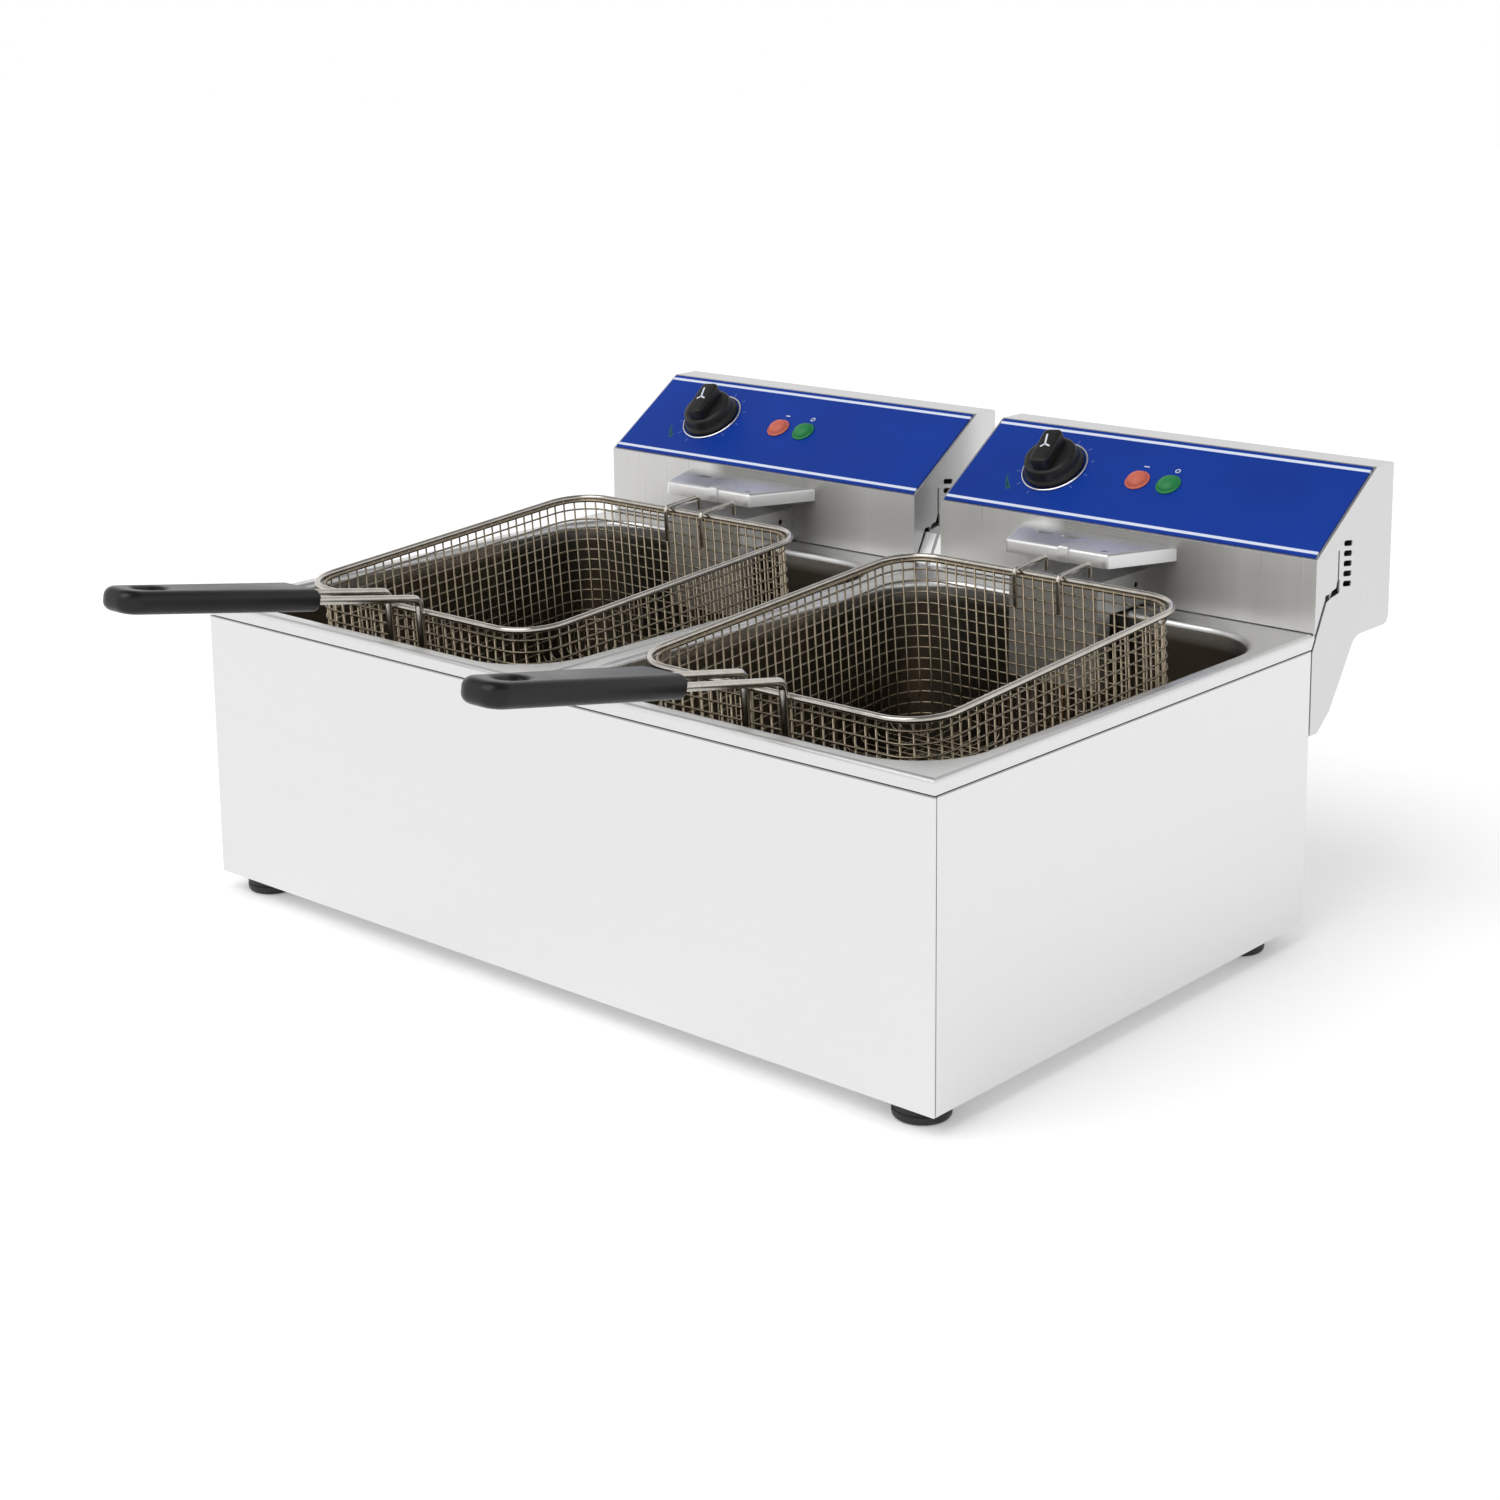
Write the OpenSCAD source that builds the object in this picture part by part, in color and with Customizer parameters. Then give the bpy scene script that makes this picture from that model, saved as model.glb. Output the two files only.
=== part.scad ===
// Countertop electric fryer with two wells. Each side has a lift-out well with its own deck, a control
// head that hooks over the deck's back lip and carries the heating element, and a wire basket.
// Millimetres. +Z is up and the feet stand on Z = 0. X is across the front, +Y runs to the back.
// The origin is under the middle of the whole appliance, handles included.

/* [Body] */
// Width of the body
body_w = 580; // [560:2:600]
// Depth of the body, front face to rear wall
body_d = 362; // [360:1:366]
// Height of the body walls
body_h = 170; // [165:1:185]
// Thickness of the steel sheet
sheet = 1.2; // [1:0.1:1.4]
// Gap left at a seam between two sheets
seam = 0.6; // [0.4:0.1:0.8]
// How far the front face lies ahead of the origin
front_ahead = 150; // [144:1:154]

/* [Feet] */
// Diameter of a rubber foot
foot_d = 32; // [28:1:34]
// Height of a rubber foot
foot_h = 12; // [10:1:16]
// Foot centre, in from the side
foot_in_x = 24; // [22:1:40]
// Foot centre, in from the front face
foot_in_y = 21; // [20:1:40]
// Foot centre, in from the rear wall
foot_in_back = 34; // [24:1:50]

/* [Wells] */
// Width of a well between its walls
well_w = 266; // [262:1:268]
// Length of a well between its walls, front to back
well_l = 330; // [324:1:330]
// Depth of a well under its deck
well_deep = 150; // [140:1:155]
// Corner radius of a well, seen from above
well_r = 45; // [40:1:55]
// Radius between a well's wall and its floor
well_floor_r = 18; // [12:1:22]
// Radius of the rolled edge between deck and well
well_lip_r = 4; // [3:0.5:5]
// Deck left in front of a well
well_front = 12; // [11:0.5:13]
// Height of the deck's turned-down edge
rim_h = 9; // [8:0.5:10]
// Height of the deck's back lip above the deck
lip_h = 19; // [16:1:20]
// Lean of the back lip away from upright, in degrees
lip_lean = 28.5; // [24:0.5:30]

/* [Heads] */
// Width of a control head
head_w = 279; // [276:1:282]
// Height of the head's upright front face above the deck
face_h = 45; // [42:1:48]
// Angle of the sloping fascia above level, in degrees
slope = 34; // [32:0.5:36]
// Length of the sloping fascia
slope_l = 82; // [80:1:84]
// Depth of the flat top
top_d = 21; // [18:1:24]
// How far the box hangs below the deck behind the body
box_drop = 10; // [8:0.5:12]
// How far the cable duct hangs below the deck
duct_drop = 62; // [55:1:70]

/* [Controls] */
// Knob axis, in from the head's left side
knob_x = 66; // [60:1:72]
// Height of the knob and the lamps along the slope
control_s = 43; // [40:1:46]
// Outer diameter of the knob's skirt
knob_d = 36; // [34:1:38]
// Height of the knob off the fascia
knob_h = 19; // [16:1:22]
// Outer diameter of the ring round the knob
ring_d = 40.5; // [39.5:0.5:42]
// Red lamp, in from the head's left side
red_x = 130; // [126:1:134]
// Green lamp, in from the head's left side
green_x = 153; // [150:1:158]
// Diameter of a lamp lens
lamp_d = 14; // [12:1:16]

/* [Element] */
// Diameter of the heater tube
tube_d = 8.5; // [8:0.5:9]
// Height of the heater above the well floor
heater_up = 43; // [30:1:44]
// Number of straight runs of the heater
heater_runs = 6; // [4:2:6]

/* [Baskets] */
// Width of a basket at its rim wire
basket_w = 210; // [200:2:214]
// Length of a basket at its rim wire
basket_l = 250; // [240:2:254]
// Depth of a basket
basket_h = 112; // [100:1:113]
// Corner radius of the rim wire
basket_r = 28; // [24:1:34]
// Tilt of the hung basket, back up, in degrees
basket_tilt = 4.1; // [3:0.1:4.5]
// Spacing of the mesh wires
mesh_pitch = 7.4; // [7:0.1:16]
// Diameter of a mesh wire
mesh_d = 1.2; // [1:0.1:1.4]
// Diameter of the rim wire
rim_d = 4; // [3.5:0.1:4.4]
// Diameter of the handle wires
handle_d = 5; // [4:0.1:5.4]
// Diameter of the rear hook wires
hook_d = 3; // [2.6:0.1:3.4]
// Length of the grip
grip_l = 160; // [150:1:170]
// Rise of the handle above level, in degrees
handle_rise = 11.6; // [9:0.1:14]

/* [Hidden] */
$fn = 48;
mm_gap = 0.1;
side_x = body_w / 2;
base_z = foot_h;
seam_z = base_z + body_h;
deck_z = seam_z + rim_h;
front_y = -front_ahead;
rear_y = front_y + body_d;
// middle of a well and of a head, measured from the plane between the two sides
well_x = side_x / 2 + seam / 4;
head_x = side_x - head_w / 2;
well_y = front_y + well_front + well_l / 2;
well_floor_z = deck_z - well_deep;
// the deck's back lip is a leaning sheet; lip_y gives its front surface at height z
lip_foot_y = rear_y + 5;
function lip_y(z) = lip_foot_y + (z - deck_z) * tan(lip_lean);
lip_top_z = deck_z + lip_h;
lip_gap = 0.9;
sheet_lean = sheet / cos(lip_lean);
// head outline
face_y = rear_y + 3.5;
face_z = deck_z + seam;
slope_z = deck_z + face_h;
slope_top_y = face_y + slope_l * cos(slope);
top_z = slope_z + slope_l * sin(slope);
back_y = slope_top_y + top_d;
box_z = deck_z - box_drop;
duct_z = deck_z - duct_drop;
duct_y = rear_y + 1.6;
// bracket and heater
bracket_x = -6;
shelf_z = deck_z + 41;
cover_z = deck_z + 23;
cover_w = 66;
cover_front_y = rear_y - 50;
leg_z = deck_z + 15;
leg_y = cover_front_y + sheet + tube_d / 2 + 1;
leg_apart = 36;
heater_z = well_floor_z + heater_up;
// basket
basket_x = 3;
basket_y = front_y + 38 + basket_l / 2;
basket_z = deck_z + 20;
// mesh layers lie just apart, between the two faces of the edge strips
layer = mesh_d + 0.02;
strip_t = layer + mesh_d + 0.1;
strip_w = 2.4;
mesh_in = rim_d / 2 + (layer + strip_t) / 2 + 0.05;
mesh_w = basket_w - 2 * mesh_in;
mesh_l = basket_l - 2 * mesh_in;
mesh_r = basket_r - mesh_in;
leg_out = (rim_d + handle_d) / 2 - 0.25;
leg_down = 66;
handle_up = 4;
hook_apart = 32;
handle_apart = 28;
handle_free = 53;
grip_w = 30;
grip_t = 16;
socket_l = 60;

// ---- sheet metal helpers ----

function unit(v) = v / norm(v);
function left_of(v) = [-v[1], v[0]];
// corner i of a path moved sideways by t, to the left of its direction
function mitred(p, i, t) =
    let (
        a = i > 0 ? unit(p[i] - p[i - 1]) : unit(p[1] - p[0]),
        b = i < len(p) - 1 ? unit(p[i + 1] - p[i]) : a,
        n = unit(left_of(a) + left_of(b))
    )
    p[i] + n * t / (n * left_of(a));
// outline of a bent sheet: the path and the same path moved by the sheet's thickness
function bent(p, t) = concat(p, [for (i = [len(p) - 1:-1:0]) mitred(p, i, t)]);
function arc(c, r, from, to, n = 6) =
    [for (i = [0:n]) let (a = from + (to - from) * i / n) c + r * [cos(a), sin(a)]];

// a Y-Z outline drawn out along X, centred on x
module along_x(w, x = 0) {
    translate([x - w / 2, 0, 0]) rotate([90, 0, 90]) linear_extrude(w) children();
}

module rounded_rect(w, l, r) {
    square([w - 2 * r, l], center = true);
    square([w, l - 2 * r], center = true);
    for (x = [-1, 1], y = [-1, 1])
        translate([x * (w / 2 - r), y * (l / 2 - r)]) circle(r);
}

// a slot of length l and width w along X
module slot_shape(l, w) {
    square([l - w, w], center = true);
    for (x = [-1, 1]) translate([x * (l - w) / 2, 0]) circle(w / 2, $fn = 24);
}

// ---- rod helpers ----

function turn(a, b) = atan2(a[0] * b[1] - a[1] * b[0], a * b);
function corner(p, i) =
    i <= 0 || i >= len(p) - 1 ? 0 : turn(unit(p[i] - p[i - 1]), unit(p[i + 1] - p[i]));
function tangent(p, i, r) = r * tan(abs(corner(p, i)) / 2);
// straight run after point i, less what the bends at its two ends take up
function run_after(p, i, r) = norm(p[i + 1] - p[i]) - tangent(p, i, r) - tangent(p, i + 1, r);

// a round rod along a path in the X-Y plane, every corner bent to radius r
module bent_rod(p, d, r) {
    first = p[1] - p[0];
    translate([p[0][0], p[0][1], 0]) rotate([0, 0, atan2(first[1], first[0])])
        rod_run([for (i = [0:len(p) - 2]) run_after(p, i, r)], [for (i = [1:len(p) - 2]) corner(p, i)], d, r);
}

// lays the straight runs and the bends one after another along +X
module rod_run(runs, bends, d, r, i = 0) {
    if (runs[i] > 0.001) rotate([0, 90, 0]) cylinder(h = runs[i], d = d);
    if (i < len(bends)) {
        side = bends[i] > 0 ? 0 : 1;
        translate([runs[i], 0, 0]) mirror([0, side, 0]) translate([0, r, 0]) {
            rotate([0, 0, -90]) rotate_extrude(angle = abs(bends[i])) translate([r, 0]) circle(d = d);
            rotate([0, 0, abs(bends[i])]) translate([0, -r, 0]) mirror([0, side, 0])
                rod_run(runs, bends, d, r, i + 1);
        }
    }
}

// a closed rounded-rectangle ring of rod
module rod_ring(w, l, r, d) {
    for (s = [-1, 1]) {
        translate([s * w / 2, 0, 0]) rotate([90, 0, 0]) cylinder(h = l - 2 * r, d = d, center = true);
        translate([0, s * l / 2, 0]) rotate([0, 90, 0]) cylinder(h = w - 2 * r, d = d, center = true);
    }
    for (k = [0:3]) {
        a = k * 90;
        sx = (k == 0 || k == 3) ? 1 : -1;
        sy = k < 2 ? 1 : -1;
        translate([sx * (w / 2 - r), sy * (l / 2 - r), 0]) rotate([0, 0, a])
            rotate_extrude(angle = 90) translate([r, 0]) circle(d = d);
    }
}

// ---- body ----

module base_pan() {
    w = body_w - 2 * sheet;
    d = body_d - 2 * sheet;
    up = 18; // height of the pan's rim
    color("silver") translate([0, front_y + body_d / 2, base_z]) {
        linear_extrude(sheet) difference() {
            square([w, d], center = true);
            foot_spots() circle(d = 5.2, $fn = 24);
            for (s = [-1, 1], k = [-4:4])
                translate([s * side_x / 2 + k * 12, -40]) rotate(90) slot_shape(90, 5);
        }
        linear_extrude(up) difference() {
            square([w, d], center = true);
            square([w - 2 * sheet, d - 2 * sheet], center = true);
        }
    }
}

// puts its children at the four feet, seen from the middle of the base
module foot_spots() {
    for (x = [-1, 1]) {
        translate([x * (side_x - foot_in_x), -body_d / 2 + foot_in_y]) children();
        translate([x * (side_x - foot_in_x), body_d / 2 - foot_in_back]) children();
    }
}

module front_panel() {
    turned = 9;
    tab = 14;
    color("gainsboro") translate([0, front_y, 0]) {
        translate([-side_x, 0, base_z]) cube([body_w, sheet, body_h]);
        translate([-side_x + tab, 0, seam_z - sheet]) cube([body_w - 2 * tab, turned, sheet]);
        for (s = [-1, 1])
            translate([s * (side_x - sheet * 1.5) - sheet / 2, 0, base_z + 20])
                cube([sheet, tab, body_h - 22]);
    }
}

module side_panel(s) {
    turned = 10;
    start = front_y + sheet + seam;
    color("gainsboro") mirror([s < 0 ? 1 : 0, 0, 0]) {
        translate([side_x - sheet, start, base_z]) cube([sheet, rear_y - start, body_h]);
        translate([side_x - turned, start, seam_z - sheet]) cube([turned, rear_y - start, sheet]);
    }
}

module rear_panel() {
    turned = 12;
    color("silver") translate([0, rear_y - sheet, 0]) {
        translate([-side_x + sheet, 0, base_z]) cube([body_w - 2 * sheet, sheet, body_h - sheet]);
        translate([-side_x + turned, -turned, seam_z - sheet])
            cube([body_w - 2 * turned, turned + sheet, sheet]);
    }
}

module centre_rail() {
    w = 20;
    h = 14;
    color("silver") translate([0, front_y + sheet, seam_z - sheet - h]) rotate([90, 0, 0]) mirror([0, 0, 1])
        linear_extrude(body_d - 2 * sheet) polygon(bent([
            [-w / 2, 0], [-w / 2, h], [w / 2, h], [w / 2, 0]
        ], -sheet));
}

module feet() {
    r = foot_d / 2;
    color("black") translate([0, front_y + body_d / 2, 0]) foot_spots()
        rotate_extrude() difference() {
            union() {
                translate([2.7, 0]) square([r - 5.7, foot_h]);
                translate([r - 3, 3]) circle(3);
                translate([r - 3.5, 3]) square([3.5, foot_h - 3]);
            }
            translate([0, -1]) square([6, 6]);
        }
}

module foot_screws() {
    color("dimgray") translate([0, front_y + body_d / 2, 0]) foot_spots() {
        translate([0, 0, 5.1]) cylinder(h = foot_h + 6, d = 5);
        translate([0, 0, 2]) cylinder(h = 3, d = 10);
        translate([0, 0, foot_h + sheet + 0.05]) cylinder(h = 4, d = 9, $fn = 6);
    }
}

// ---- wells ----

// outer solid of a deck: flat top with rounded edges, square corners
module deck_block(in) {
    w = side_x - seam / 2 - 2 * in;
    l = rear_y + 8 - front_y;
    r = 3 - in;
    z = deck_z - in;
    intersection() {
        translate([0, front_y - 0.01, 0]) rotate([90, 0, 0]) mirror([0, 0, 1])
            linear_extrude(l + 0.02) {
                translate([-w / 2, seam_z - 1]) square([w, z - seam_z + 1 - r]);
                translate([-w / 2 + r, seam_z - 1]) square([w - 2 * r, z - seam_z + 1]);
                for (s = [-1, 1]) translate([s * (w / 2 - r), z - r]) circle(r, $fn = 32);
            }
        along_x(body_w) {
            translate([front_y + in, seam_z - 1]) square([l, z - seam_z + 1 - r]);
            translate([front_y + in + r, seam_z - 1]) square([l, z - seam_z + 1]);
            translate([front_y + in + r, z - r]) circle(r, $fn = 32);
        }
    }
}

// deck: top sheet with the well's opening and turned-down rims, and the leaning lip behind it
module deck() {
    w = side_x - seam / 2;
    notch_w = cover_w + 12;
    lip = 2 * well_lip_r;
    difference() {
        deck_block(0);
        deck_block(sheet);
        translate([0, well_y, deck_z - 5])
            linear_extrude(10) rounded_rect(well_w + lip, well_l + lip, well_r + well_lip_r);
        // the rims end along the lip's lean, and stay clear of the body below
        along_x(body_w) polygon([
            [lip_y(seam_z - 2), seam_z - 2], [lip_y(deck_z + 2), deck_z + 2],
            [rear_y + 20, deck_z + 2], [rear_y + 20, seam_z - 2]
        ]);
        translate([-body_w / 2, front_y - 1, seam_z - 2]) cube([body_w, body_d + 20, 2 + seam]);
    }
    difference() {
        along_x(w - 2) polygon([
            [lip_y(deck_z - sheet), deck_z - sheet], [lip_y(lip_top_z), lip_top_z],
            [lip_y(lip_top_z) + sheet_lean, lip_top_z],
            [lip_y(deck_z - sheet) + sheet_lean, deck_z - sheet]
        ]);
        translate([bracket_x - notch_w / 2, rear_y, deck_z + 6]) cube([notch_w, 40, lip_h]);
    }
}

// wall of a well in section, r outwards from the inner wall: rolled lip, wall, floor radius
module well_section() {
    lip = well_lip_r;
    fr = well_floor_r;
    t = sheet;
    translate([lip, deck_z - lip]) intersection() {
        difference() {
            circle(lip);
            circle(lip - t);
        }
        translate([-lip, 0]) square(lip);
    }
    translate([0, well_floor_z + fr]) square([t, well_deep - lip - fr]);
    translate([-fr, well_floor_z + fr]) intersection() {
        difference() {
            circle(fr + t);
            circle(fr);
        }
        translate([0, -fr - t]) square(fr + t);
    }
}

module pan() {
    straight_x = well_w - 2 * well_r;
    straight_y = well_l - 2 * well_r;
    translate([0, well_y, 0]) {
        for (k = [-1, 1]) {
            mirror([k < 0 ? 1 : 0, 0, 0]) translate([well_w / 2, 0, 0]) rotate([90, 0, 0])
                translate([0, 0, -straight_y / 2]) linear_extrude(straight_y) well_section();
            mirror([0, k < 0 ? 1 : 0, 0]) translate([0, well_l / 2, 0]) rotate([0, 0, 90]) rotate([90, 0, 0])
                translate([0, 0, -straight_x / 2]) linear_extrude(straight_x) well_section();
        }
        for (kx = [0, 1], ky = [0, 1]) mirror([kx, 0, 0]) mirror([0, ky, 0])
            translate([straight_x / 2, straight_y / 2, 0])
                rotate_extrude(angle = 90) translate([well_r, 0]) well_section();
        translate([0, 0, well_floor_z - sheet]) linear_extrude(sheet)
            rounded_rect(well_w - 2 * well_floor_r, well_l - 2 * well_floor_r, well_r - well_floor_r);
    }
}

module well(s) {
    color("lightgray") translate([s * well_x, 0, 0]) {
        deck();
        pan();
    }
}

// ---- heads ----

function face_path() = [
    [face_y, face_z], [face_y, slope_z], [slope_top_y, top_z], [back_y, top_z]
];
// the back sheet runs down, turns in under the box and follows the cable duct
function back_path() = concat(
    [[back_y, top_z - sheet]],
    arc([back_y - 6, box_z + 6], 6, 0, -90),
    arc([rear_y + 58, box_z - 12], 12, 90, 153, 5),
    [[rear_y + 24, duct_z + 11]],
    [[rear_y + 10, duct_z]],
    [[duct_y, duct_z]]
);

// side cheek of a head, with the hook slot for the back lip, a slit above it and the vent slots
module cheek() {
    slot_top = lip_top_z + 1.5;
    vents = 5;
    difference() {
        polygon(concat(
            face_path(), back_path(),
            [[duct_y, deck_z - 2], [face_y, face_z]]
        ));
        polygon([
            [face_y - 10, seam_z - 14], [face_y - 10, face_z], [lip_y(face_z) - lip_gap, face_z],
            [lip_y(slot_top) - lip_gap, slot_top + 1], [rear_y + 27, slot_top + 3.5],
            [rear_y + 28.5, slot_top + 8], [rear_y + 31, slot_top + 8], [rear_y + 31, slot_top],
            [lip_y(slot_top) + sheet_lean + lip_gap + 3, slot_top - 1.5],
            [lip_y(slot_top - 3) + sheet_lean + lip_gap, slot_top - 3],
            [lip_y(seam_z) + sheet_lean + lip_gap, seam_z],
            [duct_y, seam_z - 2], [duct_y, seam_z - 14]
        ]);
        translate([rear_y + 28.6, slot_top + 7]) square([1.6, 19]);
        for (k = [0:vents - 1])
            translate([rear_y + 40, deck_z + 24.5 + k * 6.2]) rotate(-8) slot_shape(10, 3.4);
    }
}

module head_case(s) {
    color("lightgray") translate([s * head_x, 0, 0]) difference() {
        union() {
            along_x(head_w) polygon(bent(face_path(), -sheet));
            for (k = [-1, 1]) along_x(sheet, k * (head_w - sheet) / 2) cheek();
        }
        on_slope(knob_x) cylinder(h = 20, d = 10.4, center = true);
        for (x = [red_x, green_x]) on_slope(x) cylinder(h = 20, d = 10.4, center = true);
        bracket_holes(s);
    }
}

// openings in the front face for the heater's legs and the sensor tubes
module bracket_holes(s) {
    for (x = [-1, 1])
        translate([s * (well_x - head_x) + bracket_x + x * leg_apart / 2, face_y, leg_z])
            rotate([90, 0, 0]) cylinder(h = 20, d = tube_d + 1, center = true);
    translate([s * (well_x - head_x) + bracket_x, face_y, leg_z])
        rotate([90, 0, 0]) cylinder(h = 20, d = 12, center = true);
}

// places its children on the sloping fascia, x in from the head's left side, +Z out of the face
module on_slope(x, up = 0, along = control_s) {
    translate([x - head_w / 2, face_y, slope_z]) rotate([slope, 0, 0])
        translate([0, along, up]) children();
}

module head_back(s) {
    color("silver") translate([s * head_x, 0, 0]) difference() {
        along_x(head_w - 2 * sheet - 0.2) polygon(bent(back_path(), -sheet));
        gland_spot() cylinder(h = 20, d = 16.4, center = true);
        reset_spot() cylinder(h = 20, d = 9, center = true);
        back_screw_spots() cylinder(h = 20, d = 3.4, center = true, $fn = 24);
        for (x = [-1, 1], k = [0:5])
            translate([x * 62, back_y, top_z - 20 - k * 6]) rotate([90, 0, 0])
                linear_extrude(10, center = true) slot_shape(60, 3);
    }
}

module gland_spot() {
    translate([90, back_y, box_z + 26]) rotate([-90, 0, 0]) children();
}

module reset_spot() {
    translate([-90, back_y, box_z + 26]) rotate([-90, 0, 0]) children();
}

module back_screw_spots() {
    for (x = [-1, 1], z = [top_z - 9, box_z + 14])
        translate([x * (head_w / 2 - 9), back_y, z]) rotate([-90, 0, 0]) children();
}

// inner sheet that closes the head behind the lip and hooks over it
module head_tray(s) {
    behind = sheet_lean + lip_gap + 0.4;
    z1 = lip_top_z + 2;
    color("silver") translate([s * head_x, 0, 0]) difference() {
        along_x(head_w - 2 * sheet - 0.2) polygon(bent([
            [face_y + sheet + 0.1, z1], [lip_y(z1) + behind + 3, z1],
            [lip_y(seam_z + 3) + behind, seam_z + 3], [duct_y + 0.4, seam_z - 6],
            [duct_y + 0.4, duct_z + sheet + 0.1]
        ], sheet));
        translate([s * (well_x - head_x) + bracket_x, rear_y + 12, leg_z])
            cube([cover_w - 6, 60, tube_d + 6], center = true);
    }
}

module fascia(s) {
    color("mediumblue") translate([s * head_x, 0, 0]) difference() {
        on_slope(head_w / 2, 0.4, slope_l / 2)
            cube([head_w - 4, slope_l - 3, 0.7], center = true);
        on_slope(knob_x) cylinder(h = 20, d = 10.4, center = true);
        for (x = [red_x, green_x]) on_slope(x) cylinder(h = 20, d = 10.4, center = true);
    }
}

module knob(s) {
    grip_bar_w = 9;
    r = knob_d / 2;
    color("black") translate([s * head_x, 0, 0]) on_slope(knob_x, 1.2) difference() {
        union() {
            rotate_extrude() polygon([
                [0, 0], [r, 0], [r, 2.5], [r - 1, 3.5], [r - 3, knob_h - 9],
                [r - 4, knob_h - 8], [0, knob_h - 8]
            ]);
            intersection() {
                translate([0, 0, knob_h / 2]) cube([grip_bar_w, knob_d, knob_h], center = true);
                cylinder(h = knob_h, r = r - 2.2);
            }
        }
        translate([0, 0, -1]) cylinder(h = 12, d = 6.04);
    }
}

module spindle(s) {
    color("silver") translate([s * head_x, 0, 0]) on_slope(knob_x, -14) cylinder(h = 25, d = 6);
}

module knob_ring(s) {
    color("gainsboro") translate([s * head_x, 0, 0]) on_slope(knob_x, 0.75) difference() {
        cylinder(h = 2.2, d = ring_d);
        translate([0, 0, -1]) cylinder(h = 5, d = knob_d + 1.2);
    }
}

module lamp(s, x, tint) {
    r = lamp_d / 2;
    color(tint) translate([s * head_x, 0, 0]) on_slope(x, 0.75) {
        rotate_extrude() polygon(concat(
            [[0, 0], [r + 1, 0], [r + 1, 1], [r, 1.6]],
            arc([0, -4], norm([r, 5.6]), atan2(5.6, r), 90, 5)
        ));
        translate([0, 0, -24]) cylinder(h = 24, d = 10);
    }
}

module thermostat(s) {
    color("tan") translate([s * head_x, 0, 0]) on_slope(knob_x, -sheet - 0.1) difference() {
        union() {
            translate([-17, -17, -26]) cube([34, 34, 24]);
            translate([0, 0, -2]) cylinder(h = 2, d = 20);
            translate([0, 0, -2]) cylinder(h = 4, d = 10);
        }
        translate([0, 0, -14.5]) cylinder(h = 40, d = 6.1);
    }
}

// two bulbs beside the heater, each with a thin tube up into the head
module sensors(s) {
    bulb_z = heater_z + tube_d / 2 + 3.2;
    color("peru") for (x = [-1, 1]) translate([s * well_x + bracket_x + x * 4, 0, 0]) {
        rotate([90, 0, 90]) bent_rod([
            [leg_y - 40, bulb_z], [leg_y, bulb_z], [leg_y, leg_z], [rear_y + 40, leg_z]
        ], 2, 6);
        translate([0, leg_y - 40, bulb_z]) rotate([90, 0, 0]) cylinder(h = 90, d = 6);
    }
}

// shelf the basket hooks onto: folded tray, upside down, with two slots and a pressed rib
module hanger_shelf(s) {
    back_w = 58;
    front_w = 38;
    deep = face_y - (rear_y - 42);
    lip = 9;
    rib_w = 7;
    rib_x = 6;
    outline = [[-back_w, 0], [-front_w, -deep], [front_w, -deep], [back_w, 0]];
    inside = [for (i = [0:3]) mitred(outline, i, sheet)];
    color("lightgray") translate([s * well_x + bracket_x - 4, face_y - mm_gap, shelf_z]) {
        difference() {
            translate([0, 0, sheet - lip]) linear_extrude(lip) polygon(outline);
            translate([0, 0, -lip]) linear_extrude(lip)
                polygon(concat([[inside[0][0], 5]], inside, [[inside[3][0], 5]]));
            along_x(3 * back_w) polygon([
                [2 - deep, -lip], [2 - deep, sheet - lip], [1, -1.2], [1, -lip]
            ]);
            for (x = [-29, -9]) translate([x, 28 - deep, -1]) linear_extrude(4) slot_shape(14, 6);
            translate([front_w - 7, 7 - deep, -1]) cylinder(h = 4, d = 4.2, $fn = 24);
        }
        translate([4 - back_w, -sheet, 0]) cube([2 * back_w - 8, sheet, 7]);
        translate([rib_x - rib_w / 2, -deep - 0.8, sheet - lip]) cube([rib_w, 1, lip + 1.6]);
        translate([rib_x - rib_w / 2, -deep - 0.8, sheet - 0.2]) cube([rib_w, 20, 1.8]);
    }
}

module element_cover(s) {
    low = deck_z - 45;
    back = face_y - mm_gap;
    color("lightgray") translate([s * well_x + bracket_x, 0, 0]) difference() {
        union() {
            along_x(cover_w) polygon(bent(concat(
                [[back, cover_z]],
                arc([cover_front_y + 5, cover_z - 5], 5, 90, 180),
                [[cover_front_y, low]]
            ), sheet));
            for (k = [-1, 1]) along_x(sheet, k * (cover_w - sheet) / 2) polygon(concat(
                [[back, deck_z + 1.5], [back, cover_z]],
                arc([cover_front_y + 5, cover_z - 5], 5, 90, 180, 4),
                [[cover_front_y, low], [cover_front_y + 13, low], [cover_front_y + 13, deck_z + 1.5]]
            ));
        }
        for (z = [8, 15])
            translate([0, back - 12, deck_z + z]) rotate([0, 90, 0])
                cylinder(h = 2 * cover_w, d = 4, center = true, $fn = 24);
    }
}

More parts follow.
